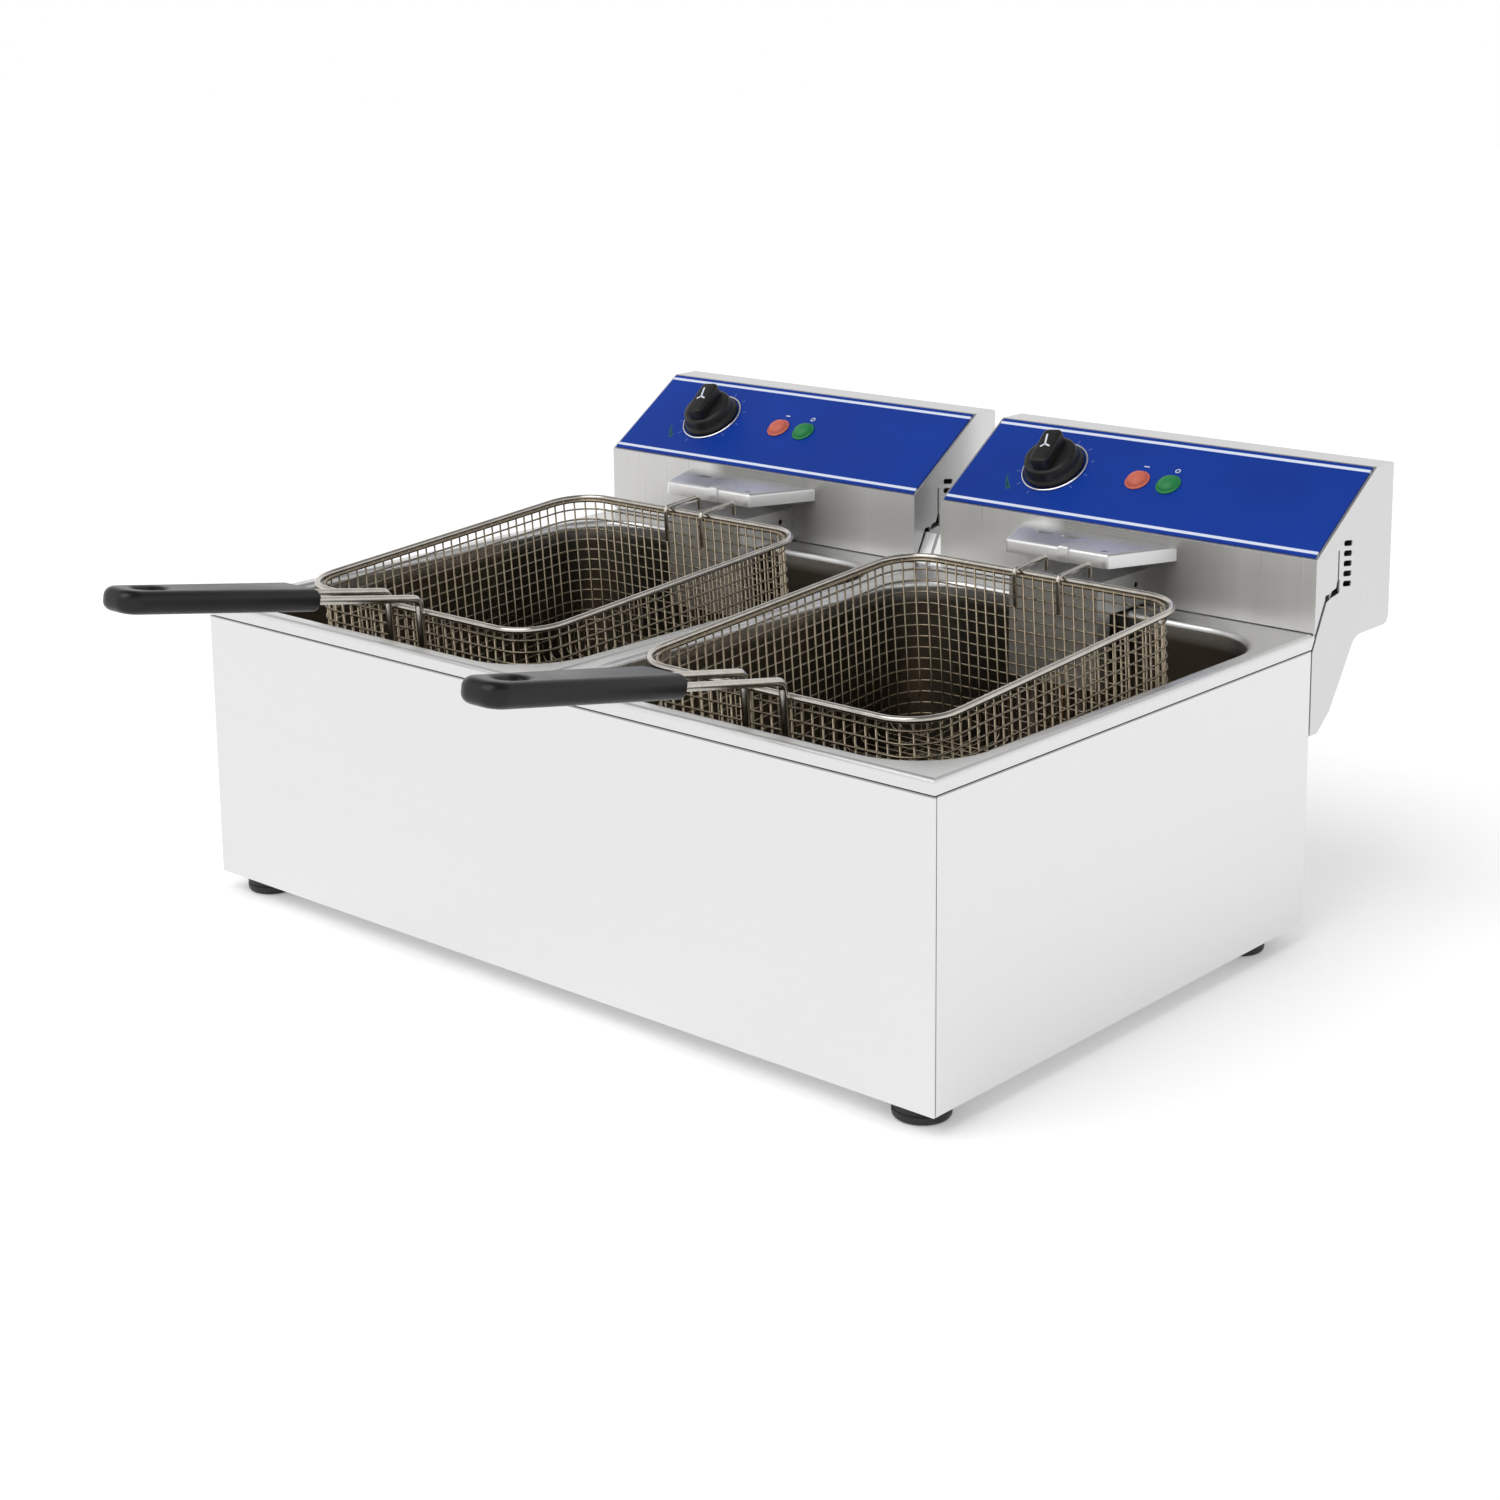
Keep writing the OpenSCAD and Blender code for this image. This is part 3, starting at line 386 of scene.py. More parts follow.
def moulded(name, tone, rough, speck=700.0, contrast=0.15, bump=0.15, gloss=0.5):
    mat, tree, bsdf = newFinish(name)
    noise = grainNoise(tree, (speck,) * 3, detail=4)
    broad = grainNoise(tree, (22, 22, 22), detail=3)
    spreadTone(tree, bsdf, broad, tone, 1 - contrast, 1 + contrast)
    tree.links.new(toRange(tree, broad, rough * 0.85, rough * 1.15), bsdf.inputs["Roughness"])
    bsdf.inputs["Specular IOR Level"].default_value = gloss
    addBump(tree, bsdf, noise, bump, speckHigh)
    return mat


def lampLens(name, tone):
    # a moulded lens: an even matt colour with a faint ribbing behind its face
    mat, tree, bsdf = newFinish(name)
    noise = grainNoise(tree, (420, 420, 420), detail=2)
    spreadTone(tree, bsdf, noise, tone, 0.88, 1.1)
    bsdf.inputs["Roughness"].default_value = 0.42
    bsdf.inputs["Specular IOR Level"].default_value = 0.35
    addBump(tree, bsdf, noise, 0.12, grainHigh)
    return mat


bodySteel = bodyFinish(bodySeamShadow, sheetSet["body"])
bracketSteel = sheetSteel("bracketSteel", sheetSet["bracket"])
wellSteel = wellFinish(wellSet, sheetSet["well"])
headSteel = headFinish(headSet, sheetSet["head"])
innerSteel = plainMetal("innerSteel", (0.62, 0.62, 0.63), 0.38)
heaterSteel = plainMetal("heaterSteel", (0.26, 0.235, 0.21), 0.35, speck=40, contrast=0.2)
wireSteel = plainMetal("wireSteel", (0.55, 0.52, 0.47), 0.20, speck=120, contrast=0.14)
meshSteel = plainMetal("meshSteel", (0.30, 0.25, 0.18), 0.28, speck=160, contrast=0.2)
brightPlate = plainMetal("brightPlate", (0.86, 0.86, 0.87), 0.18)
screwSteel = plainMetal("screwSteel", (0.62, 0.62, 0.63), 0.25)
copperPart = plainMetal("copperPart", (0.72, 0.38, 0.22), 0.30)
blackGrip = moulded("blackGrip", (0.009, 0.009, 0.0095), 0.33, speck=900, bump=0.12, gloss=0.32)
blackKnob = moulded("blackKnob", (0.010, 0.0105, 0.0095), 0.38, speck=500, bump=0.08, gloss=0.3)
blackRubber = moulded("blackRubber", (0.012, 0.012, 0.012), 0.55, speck=400, bump=0.3)
blackSwitch = moulded("blackSwitch", (0.03, 0.03, 0.032), 0.45)
paleCeramic = moulded("paleCeramic", (0.78, 0.74, 0.64), 0.35)
tanMoulding = moulded("tanMoulding", (0.50, 0.40, 0.26), 0.5)
redButton = moulded("redButton", (0.50, 0.02, 0.015), 0.3)
whitePrint = moulded("whitePrint", (0.72, 0.76, 0.84), 0.45, contrast=0.04, bump=0.02, gloss=0.3)
greenPrint = moulded("greenPrint", (0.008, 0.10, 0.15), 0.45, contrast=0.05, bump=0.02, gloss=0.3)
fadedPrint = moulded("fadedPrint", (0.10, 0.16, 0.42), 0.45, contrast=0.05, bump=0.02, gloss=0.3)
redLens = lampLens("redLens", (0.60, 0.135, 0.085))
greenLens = lampLens("greenLens", (0.010, 0.215, 0.055))

# printed fascia: blue film with a white line near each long edge
fasciaSet = {
    "blue": (0.0035, 0.038, 0.305),
    "white": (0.70, 0.76, 0.90),
    "shades": (0.92, 1.08),
    "rough": (0.34, 0.42),
    "slope": 34.0,
    "lines": (0.0040, 0.0757),
    "lineWide": 0.0023,
    "softEdge": 0.0002,
    "gloss": 0.13,
}


def whiteLines(tree, c, low):
    # 1 on the two lines and 0 beside them, by the distance up the slope from the film's front edge
    slope = math.radians(c["slope"])
    place = objectAxes(tree)
    parts = []
    for axis, start, share in (("Y", low.y, math.cos(slope)), ("Z", low.z, math.sin(slope))):
        away = mathNode(tree, "SUBTRACT", place[axis], start)
        parts.append(mathNode(tree, "MULTIPLY", away, share))
    along = mathNode(tree, "ADD", *parts)
    half, soft = c["lineWide"] / 2, c["softEdge"]
    edges = []
    for line in c["lines"]:
        away = mathNode(tree, "ABSOLUTE", mathNode(tree, "SUBTRACT", along, line), 0)
        edges.append(mapValue(tree, away, half + soft, half - soft))
    return mathNode(tree, "MAXIMUM", *edges)


def fasciaFilm(c, node):
    mat, tree, bsdf = newFinish("fasciaFilm")
    lines = whiteLines(tree, c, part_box(node)[0])
    grain = grainNoise(tree, (300, 300, 300), detail=3)
    broad = grainNoise(tree, (12, 12, 12), detail=2)
    dark, light = (scaled(c["blue"], k) for k in c["shades"])
    tone = mixTones(tree, toRange(tree, broad, 0, 1), dark, light)
    tree.links.new(mixTones(tree, lines, tone, c["white"]), bsdf.inputs["Base Color"])
    tree.links.new(toRange(tree, grain, *c["rough"]), bsdf.inputs["Roughness"])
    bsdf.inputs["Specular IOR Level"].default_value = c["gloss"]
    addBump(tree, bsdf, grain, 0.05, speckHigh)
    return mat


blueFilm = fasciaFilm(fasciaSet, "left_fascia")
print("finishes made")

# which finish each of the frame's own nodes gets
sharedFinish = {
    "base_pan": innerSteel,
    "front_panel": bodySteel,
    "left_side_panel": bodySteel,
    "right_side_panel": bodySteel,
    "rear_panel": bodySteel,
    "centre_rail": innerSteel,
    "feet": blackRubber,
    "foot_screws": screwSteel,
}
sideFinish = {
    "well": wellSteel,
    "head_case": headSteel,
    "head_back": headSteel,
    "head_tray": innerSteel,
    "fascia": blueFilm,
    "knob": blackKnob,
    "spindle": screwSteel,
    "knob_ring": brightPlate,
    "red_lamp": redLens,
    "green_lamp": greenLens,
    "thermostat": tanMoulding,
    "sensors": copperPart,
    "hanger_shelf": bracketSteel,
    "element_cover": bracketSteel,
    "heating_element": heaterSteel,
    "limiter": paleCeramic,
    "reset_button": redButton,
    "terminal_block": paleCeramic,
    "contactor": blackSwitch,
    "microswitch": blackSwitch,
    "cable_gland": blackSwitch,
    "back_screws": screwSteel,
    "basket_frame": wireSteel,
    "basket_mesh": meshSteel,
    "basket_grip": blackGrip,
}
softEdges = {"nodes": ("head_case", "element_cover"), "width": 0.35 * mm, "weld": 0.01 * mm, "angle": 35}


def dressNode(name, finish):
    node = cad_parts[name]
    node.data.materials.clear()
    node.data.materials.append(finish)
    return node


def softenEdges(node, c):
    # joins the seams between faces, then rounds sharp edges a little so that they catch light
    node.modifiers.new("weld", "WELD").merge_threshold = c["weld"]
    bevel = node.modifiers.new("softEdge", "BEVEL")
    bevel.width = c["width"]
    bevel.segments = 2
    bevel.limit_method = "ANGLE"
    bevel.angle_limit = math.radians(c["angle"])
    bevel.harden_normals = True


for name, finish in sharedFinish.items():
    dressNode(name, finish)
for side, sign in units:
    for part, finish in sideFinish.items():
        node = dressNode(side + "_" + part, finish)
        if part in softEdges["nodes"]:
            softenEdges(node, softEdges)
print("frame nodes dressed")


# mesh tools
def linkMesh(name, verts, faces, finish, where=Matrix(), angle=180):
    # faces that meet at less than the angle are shaded as one smooth face
    data = bpy.data.meshes.new(name)
    data.from_pydata([tuple(where @ v) for v in verts], [], faces)
    data.update()
    data.polygons.foreach_set("use_smooth", [angle > 0] * len(data.polygons))
    if 0 < angle < 180:
        data.set_sharp_from_angle(angle=math.radians(angle))
    data.materials.append(finish)
    piece = bpy.data.objects.new(name, data)
    scene.collection.objects.link(piece)
    return piece


def turns(steps, start=0.0):
    # angles of even steps round a full circle
    return [2 * math.pi * (k + start) / steps for k in range(steps)]


def quarter(steps, start=0):
    # angles of even steps round a quarter circle, with both of its ends
    return [math.radians(start + 90 * k / steps) for k in range(steps + 1)]


def polar(radius, angle, z=0.0):
    return Vector((radius * math.cos(angle), radius * math.sin(angle), z))


def rectangle(x, y):
    # corners of a rectangle that reaches x and y from the middle, in turn
    return [Vector((-x, -y, 0)), Vector((x, -y, 0)), Vector((x, y, 0)), Vector((-x, y, 0))]


def addBand(faces, a, b, size, flip=False):
    # quads between two rings of points, given by the numbers of their first points
    for k in range(size):
        n = (k + 1) % size
        quad = (a + k, a + n, b + n, b + k)
        faces.append(quad[::-1] if flip else quad)


def addRings(verts, faces, rings, closed=False):
    # joins rings of points by quads, each to the next, and caps both ends of an open row
    first, count, size = len(verts), len(rings), len(rings[0])
    for ring in rings:
        verts += ring
    for i in range(count if closed else count - 1):
        addBand(faces, first + i * size, first + (i + 1) % count * size, size)
    if not closed:
        last = first + (count - 1) * size
        faces.append(tuple(first + k for k in reversed(range(size))))
        faces.append(tuple(last + k for k in range(size)))


def addTube(verts, faces, path, radius, sides, closed=False):
    # sweeps a round section along path, carrying one frame from point to point
    rings, side, last = [], None, len(path) - 1
    for i, point in enumerate(path):
        ahead = path[(i + 1) % len(path)] if closed or i < last else point
        behind = path[i - 1] if closed or i > 0 else point
        tangent = (ahead - behind).normalized()
        if side is None:
            side = tangent.cross(Vector((0, 0, 1)) if abs(tangent.z) < 0.9 else Vector((0, 1, 0)))
        side = (side - tangent * side.dot(tangent)).normalized()
        up = tangent.cross(side)
        rings.append([point + (side * math.cos(a) + up * math.sin(a)) * radius for a in turns(sides, 0.5)])
    addRings(verts, faces, rings, closed)


def turnBetween(centre, start, end, steps):
    # unit directions from start to end, as seen from the centre of an arc
    a, b = (start - centre).normalized(), (end - centre).normalized()
    return [a.slerp(b, k / steps) for k in range(steps + 1)]


def bendPath(points, radius, steps):
    # an open path whose inner corners are turned on arcs of the radius
    path = [points[0]]
    for i in range(1, len(points) - 1):
        a = (points[i - 1] - points[i]).normalized()
        b = (points[i + 1] - points[i]).normalized()
        half = a.angle(b) / 2
        centre = points[i] + (a + b).normalized() * radius / math.sin(half)
        reach = radius / math.tan(half)
        away = turnBetween(centre, points[i] + a * reach, points[i] + b * reach, steps)
        path += [centre + v * radius for v in away]
    return path + [points[-1]]


def addBead(verts, faces, centre, size, rings=5, sides=10):
    # a weld bead: a small squashed ball, its size along X, Y and Z
    first = len(verts)
    x, y, high = size
    verts.append(centre + Vector((0, 0, -high)))
    for i in range(1, rings):
        a = math.pi * (i / rings - 0.5)
        for b in turns(sides):
            away = Vector((x * math.cos(a) * math.cos(b), y * math.cos(a) * math.sin(b), high * math.sin(a)))
            verts.append(centre + away)
    verts.append(centre + Vector((0, 0, high)))
    last = len(verts) - 1
    for k in range(sides):
        n = (k + 1) % sides
        faces.append((first, first + 1 + n, first + 1 + k))
        faces.append((last, last - sides + k, last - sides + n))
        for i in range(rings - 2):
            a, b = first + 1 + i * sides, first + 1 + (i + 1) * sides
            faces.append((a + k, a + n, b + n, b + k))


def addStroke(verts, faces, a, b, wide, thick):
    # a thin flat bar from a to b on the X-Y plane, thick upwards, with pointed ends
    along = (b - a).normalized()
    across = Vector((-along.y, along.x, 0)) * wide / 2
    tip = along * wide * 0.3
    ring = [a - across, b - across, b + tip, b + across, a + across, a - tip]
    addRings(verts, faces, [[p + Vector((0, 0, z)) for p in ring] for z in (0, thick)])


def revolve(verts, faces, profile, steps, centre=Vector((0, 0, 0))):
    # profile runs from the bottom up, as pairs of radius and height
    addRings(verts, faces, [[centre + polar(radius, a, z) for a in turns(steps)] for radius, z in profile])


def roundCorners(points, radii, steps=8):
    # closed outline with every corner turned on an arc, as pairs of place and outward direction
    result = []
    for i, p in enumerate(points):
        a = (points[i - 1] - p).normalized()
        b = (points[(i + 1) % len(points)] - p).normalized()
        half = a.angle(b) / 2
        reach = radii[i] / math.tan(half)
        centre = p + (a + b).normalized() * radii[i] / math.sin(half)
        for away in turnBetween(centre, p + a * reach, p + b * reach, steps):
            result.append((centre + away * radii[i], away))
    return result


def addFlat(verts, faces, loops, top):
    # triangles between an outline and its holes, given by their points' numbers
    numbers = [i for loop in loops for i in loop]
    for tri in tessellate_polygon([[verts[i] for i in loop] for loop in loops]):
        a, b, c = (numbers[i] for i in tri)
        up = (verts[b] - verts[a]).cross(verts[c] - verts[a]).z > 0
        faces.append((a, b, c) if up == top else (c, b, a))


def slabPiece(name, outer, holes, thick, edge, finish, where, angle, steps=5):
    # flat slab whose outline and holes are rounded over by edge, on both faces
    verts, faces, rims = [], [], []
    half = thick / 2
    for outline, sign in [(outer, -1)] + [(hole, 1) for hole in holes]:
        profile = [(edge * (1 - math.sin(a)), -half + edge * (1 - math.cos(a))) for a in quarter(steps)]
        profile += [(inset, -z) for inset, z in reversed(profile)]
        first, count = len(verts), len(outline)
        for inset, z in profile:
            verts += [p + away * inset * sign + Vector((0, 0, z)) for p, away in outline]
        for i in range(len(profile) - 1):
            addBand(faces, first + i * count, first + (i + 1) * count, count, sign > 0)
        rims.append((first, count, len(profile) - 1))
    for top in (False, True):
        starts = [(first + last * count if top else first, count) for first, count, last in rims]
        addFlat(verts, faces, [list(range(start, start + count)) for start, count in starts], top)
    return linkMesh(name, verts, faces, finish, where, angle)


# how the baskets hang, a little to the right of each well's middle
hang = {
    "offset": 3 * mm,
    "y": 13 * mm,
    "z": 211 * mm,
    "tilt": 4.1,
}


def hungFrame(sign):
    # middle of the rim wire, tilted as the basket hangs
    place = Vector((sign * wellMiddle[0] + hang["offset"], hang["y"], hang["z"]))
    return Matrix.Translation(place) @ Matrix.Rotation(math.radians(hang["tilt"]), 4, "X")


# woven basket mesh
weave = {
    "wide": 201.2 * mm,  # between the middles of the upright wires
    "long": 241.2 * mm,
    "deep": 109.5 * mm,
    "corner": 24.0 * mm,
    "pitch": 7.4 * mm,
    "wire": 1.2 * mm,
    "bindWire": 2.4 * mm,
    "footRound": 6.0 * mm,
    "footSteps": 4,
    "cornerWires": 5,
    "cornerIn": 3 * mm,  # how far from a corner's middle its wires end
    "sides": 7,
}


def roundedLoop(wide, long, corner, steps=6):
    # closed outline in the X-Y plane, as points
    loop = []
    for k, (sx, sy) in enumerate(((1, 1), (-1, 1), (-1, -1), (1, -1))):
        for a in quarter(steps, 90 * k):
            loop.append(Vector((sx * (wide / 2 - corner) + corner * math.cos(a),
                                sy * (long / 2 - corner) + corner * math.sin(a), 0)))
    return loop


def uWire(half, down, bend, steps=4):
    # one wire: down a wall, across the floor and up the other wall, in the X-Z plane
    points = [Vector((-half, 0, 0))]
    for side, start in ((-1, 180), (1, 270)):
        for a in quarter(steps, start):
            x, z = side * (half - bend) + bend * math.cos(a), bend - down + bend * math.sin(a)
            points.append(Vector((x, 0, z)))
    return points + [Vector((half, 0, 0))]


def hoop(c, out, z):
    # a level loop, out from the middles of the uprights
    loop = roundedLoop(c["wide"] + 2 * out, c["long"] + 2 * out, c["corner"] + out)
    return [p + Vector((0, 0, z)) for p in loop]


def cornerWire(c, centre, away):
    # an upright at a corner, turned in under the floor
    path = [centre + away * c["corner"]]
    for a in quarter(c["footSteps"]):
        path.append(centre + away * (c["corner"] - c["footRound"] * (1 - math.cos(a)))
                    + Vector((0, 0, -c["deep"] + c["footRound"] * (1 - math.sin(a)))))
    return path + [centre + away * c["cornerIn"] + Vector((0, 0, -c["deep"]))]


def weaveBasket(side, sign):
    c = weave
    verts, faces = [], []
    wire, r, n = c["wire"], c["wire"] / 2, c["sides"]
    rows = round(c["deep"] / c["pitch"])
    for k in range(1, rows):  # level hoops outside the uprights
        z = -k * c["deep"] / rows
        if z >= -c["deep"] + c["footRound"]:
            addTube(verts, faces, hoop(c, wire, z), r, n, closed=True)
    addTube(verts, faces, hoop(c, wire / 2, -c["bindWire"] / 2), c["bindWire"] / 2, n, closed=True)
    # wires across the width, then wires along the length one wire lower
    straightY, straightX = c["long"] - 2 * c["corner"], c["wide"] - 2 * c["corner"]
    countY, countX = round(straightY / c["pitch"]), round(straightX / c["pitch"])
    for i in range(countY + 1):
        y = (i / countY - 0.5) * straightY
        path = [p + Vector((0, y, 0)) for p in uWire(c["wide"] / 2, c["deep"] - wire, c["footRound"])]
        addTube(verts, faces, path, r, n)
    for i in range(countX + 1):
        x = (i / countX - 0.5) * straightX
        path = [Vector((x, p.x, p.z)) for p in uWire(c["long"] / 2, c["deep"], c["footRound"])]
        addTube(verts, faces, path, r, n)
    for sx in (-1, 1):
        for sy in (-1, 1):
            centre = Vector((sx * (c["wide"] / 2 - c["corner"]), sy * (c["long"] / 2 - c["corner"]), 0))
            for i in range(1, c["cornerWires"]):
                a = math.radians(90 * i / c["cornerWires"])
                away = Vector((sx * math.cos(a), sy * math.sin(a), 0))
                addTube(verts, faces, cornerWire(c, centre, away), r, n)
    piece = linkMesh(side + "_basketWeave", verts, faces, meshSteel, hungFrame(sign))
    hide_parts(side + "_basket_mesh")
    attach(piece, side + "_basket")


for side, sign in units:
    weaveBasket(side, sign)
print("basket weave made")

# heavier wires of the basket: rim, handle with its two legs and cross wires, rear hooks
wires = {
    "rimWide": 210 * mm,
    "rimLong": 250 * mm,
    "rimCorner": 28 * mm,
    "rim": 4.0 * mm,
    "handle": 5.0 * mm,
    "apart": 28 * mm,
    "legOut": 129.25 * mm,
    "legDown": 66 * mm,
    "cornerUp": 9.5 * mm,
    "rise": 10,
    "run": 104 * mm,
    "bend": 6 * mm,
    "crossAt": (-61 * mm, -30 * mm),
    "crossIn": 3.95 * mm,
    "crossLong": 38 * mm,
    "hook": 3.0 * mm,
    "hookApart": 32 * mm,
    "hookDown": 20 * mm,
    "hookIn": 118.8 * mm,
    "hookOut": 152 * mm,
    "hookUp": 3.25 * mm,
    "hookEnd": -5.7 * mm,
    "hookBend": 3 * mm,
    "hookSides": 12,
    "sides": 16,
    "rimSteps": 10,  # of each bend
    "handleSteps": 9,
    "hookSteps": 6,
    "smooth": 50,
}
beads = {  # place along Y and Z from each joint, then the size along X, Y and Z
    "leg": ((2.3 * mm, 0), (2.4 * mm, 1.6 * mm, 2.4 * mm)),
    "hook": ((0, 1.7 * mm), (1.9 * mm, 1.9 * mm, 1.1 * mm)),
    "cross": ((-2 * mm, 0), (2.6 * mm, 1.2 * mm, 2.2 * mm)),
}


def weldBead(verts, faces, kind, x, y, z):
    away, size = beads[kind]
    addBead(verts, faces, Vector((x, y + away[0], z + away[1])), size)


def addHandle(verts, faces, c, x):
    # one wire of the handle: up outside the rim, then out to the grip
    lift = math.radians(c["rise"] + hang["tilt"])
    foot = Vector((x, -c["legOut"], -c["legDown"]))
    corner = Vector((x, -c["legOut"], c["cornerUp"]))
    end = corner + Vector((0, -math.cos(lift), math.sin(lift))) * c["run"]
    addTube(verts, faces, bendPath([foot, corner, end], c["bend"], c["handleSteps"]),
            c["handle"] / 2, c["sides"])
    weldBead(verts, faces, "leg", x, -c["legOut"], 0)


def addHook(verts, faces, c, x):
    # up the rear wall, back over the shelf and down into its slot
    corners = ((c["hookIn"], -c["hookDown"]), (c["hookIn"], c["hookUp"]),
               (c["hookOut"], c["hookUp"]), (c["hookOut"], c["hookEnd"]))
    path = bendPath([Vector((x, y, z)) for y, z in corners], c["hookBend"], c["hookSteps"])
    addTube(verts, faces, path, c["hook"] / 2, c["hookSides"])
    weldBead(verts, faces, "hook", x, c["rimLong"] / 2, 0)


def makeWires(side, sign):
    c = wires
    verts, faces = [], []
    rim = roundedLoop(c["rimWide"], c["rimLong"], c["rimCorner"], c["rimSteps"])
    addTube(verts, faces, rim, c["rim"] / 2, c["sides"], closed=True)
    for k in (-0.5, 0.5):
        addHandle(verts, faces, c, k * c["apart"])
        addHook(verts, faces, c, k * c["hookApart"])
    y, half = c["crossIn"] - c["legOut"], c["crossLong"] / 2
    for z in c["crossAt"]:
        addTube(verts, faces, [Vector((-half, y, z)), Vector((half, y, z))], c["rim"] / 2, c["sides"])
        for k in (-0.5, 0.5):
            weldBead(verts, faces, "cross", k * c["apart"], y, z)
    piece = linkMesh(side + "_basketWires", verts, faces, wireSteel, hungFrame(sign), c["smooth"])
    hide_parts(side + "_basket_frame")
    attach(piece, side + "_basket")


for side, sign in units:
    makeWires(side, sign)
print("basket wires made")

# grips, with a hanging slot near the free end
grip = {
    "long": 135 * mm,
    "wide": 30 * mm,
    "thick": 13.4 * mm,
    "nearWide": 34 * mm,
    "nearRound": 4 * mm,
    "endRound": 11 * mm,
    "edge": 5.2 * mm,
    "slotLong": 17 * mm,
    "slotWide": 9 * mm,
    "slotIn": 24 * mm,
    "free": 76 * mm,
    "smooth": 40,
}


def gripFrame(sign):
    # middle of the grip's near end, +X along the grip away from the basket
    lift = math.radians(wires["rise"] + hang["tilt"])
    turn = Matrix.Rotation(math.radians(-90), 4, "Z") @ Matrix.Rotation(-lift, 4, "Y")
    return (hungFrame(sign) @ Matrix.Translation((0, -wires["legOut"], wires["cornerUp"])) @ turn
            @ Matrix.Translation((grip["free"], 0, 0)))


def makeGrip(side, sign):
    c = grip
    half, near = c["wide"] / 2, c["nearWide"] / 2
    outer = roundCorners([Vector((0, -near, 0)), Vector((c["long"], -half, 0)),
                          Vector((c["long"], half, 0)), Vector((0, near, 0))],
                         [c["nearRound"], c["endRound"], c["endRound"], c["nearRound"]])
    x = c["long"] - c["slotIn"]
    sl, sw = c["slotLong"] / 2, c["slotWide"] / 2
    hole = roundCorners([Vector((x - sl, -sw, 0)), Vector((x - sl, sw, 0)),
                         Vector((x + sl, sw, 0)), Vector((x + sl, -sw, 0))], [sw * 0.98] * 4)
    name, where = side + "_gripBody", gripFrame(sign)
    piece = slabPiece(name, outer, [hole], c["thick"], c["edge"], blackGrip, where, c["smooth"])
    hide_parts(side + "_basket_grip")
    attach(piece, side + "_basket")


for side, sign in units:
    makeGrip(side, sign)
print("grips made")

# the sloping fascia, which the knobs, lamps and prints stand on
head = {
    "wide": 279 * mm,
    "middle": 150.5 * mm,
    "faceY": 215.5 * mm,
    "slopeZ": 236 * mm,
    "slope": 34.0,
    "film": 0.76 * mm,  # height of the fascia's face over the slope
}


def slopeFrame(sign, x, along, up):
    # a place on the fascia: X across, Y up the slope, Z out of it
    left = sign * head["middle"] - head["wide"] / 2
    place = Matrix.Translation((left + x, head["faceY"], head["slopeZ"]))
    return place @ Matrix.Rotation(math.radians(head["slope"]), 4, "X") @ Matrix.Translation((0, along, up))


knob = {
    "x": 66 * mm,
    "along": 43 * mm,
    "up": 1.2 * mm,
    "skirt": 20.3 * mm,
    "tall": 20 * mm,
    "shoulder": 11.5 * mm,
    "foot": ((0.5, 0), (0, 0.5), (0, 2.4), (0.4, 3.0), (1.2, 3.5), (1.9, 6.0)),  # in from the skirt, and up
    "crown": ((2.5, 1.8), (3.0, 0.9), (3.9, 0.3), (5.2, 0)),  # in from the skirt, down from the shoulder
    "turn": 8,
    "barFrom": 3 * mm,
    "barWide": 13.5 * mm,
    "barLong": 30.4 * mm,
    "barEdge": 1.8 * mm,
    "barRound": 0.55,
    "markWide": 1.3 * mm,
    "markThick": 0.15 * mm,
    "markSunk": 0.1 * mm,
    "mark": (((-0.3, 0.6), (-2.4, 9.6)), ((-0.3, 0.6), (-2.6, -2.0)), ((-0.3, 0.6), (3.4, -1.2))),
    "steps": 72,
    "barSteps": 6,
    "smooth": 50,
    "ringUp": 0.72 * mm,
    "ringRound": 22.0 * mm,
    "ringWire": 1.5 * mm,
    "ringSides": 12,
}


def makeKnobRing(side, sign):
    c = knob
    verts, faces = [], []
    path = [polar(c["ringRound"], a, c["ringWire"] / 2) for a in turns(c["steps"])]
    addTube(verts, faces, path, c["ringWire"] / 2, c["ringSides"], closed=True)
    where = slopeFrame(sign, c["x"], c["along"], c["ringUp"])
    piece = linkMesh(side + "_knobRing", verts, faces, brightPlate, where)
    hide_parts(side + "_knob_ring")
    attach(piece, side + "_head")


def makeSkirt(side, c, where):
    profile = [(c["skirt"] - inside * mm, up * mm) for inside, up in c["foot"]]
    profile += [(c["skirt"] - inside * mm, c["shoulder"] - down * mm) for inside, down in c["crown"]]
    verts, faces = [], []
    revolve(verts, faces, profile, c["steps"])
    piece = linkMesh(side + "_knobSkirt", verts, faces, blackKnob, where, c["smooth"])
    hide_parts(side + "_knob")
    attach(piece, side + "_dial")


def makeBar(side, c, where):
    wide, tall = c["barWide"] / 2, c["tall"] - c["barFrom"]
    outline = roundCorners(rectangle(wide, c["barLong"] / 2), [wide * c["barRound"]] * 4, c["barSteps"])
    where = where @ Matrix.Translation((0, 0, c["barFrom"] + tall / 2))
    bar = slabPiece(side + "_knobBar", outline, [], tall, c["barEdge"], blackKnob, where, c["smooth"])
    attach(bar, side + "_dial")


def makePointer(side, c, where):
    # a three-armed mark let into the top of the bar
    verts, faces = [], []
    for a, b in c["mark"]:
        addStroke(verts, faces, Vector((*a, 0)) * mm, Vector((*b, 0)) * mm, c["markWide"], c["markThick"])
    where = where @ Matrix.Translation((0, 0, c["tall"] - c["markSunk"]))
    pointer = linkMesh(side + "_knobMark", verts, faces, whitePrint, where, 0)
    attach(pointer, side + "_dial")


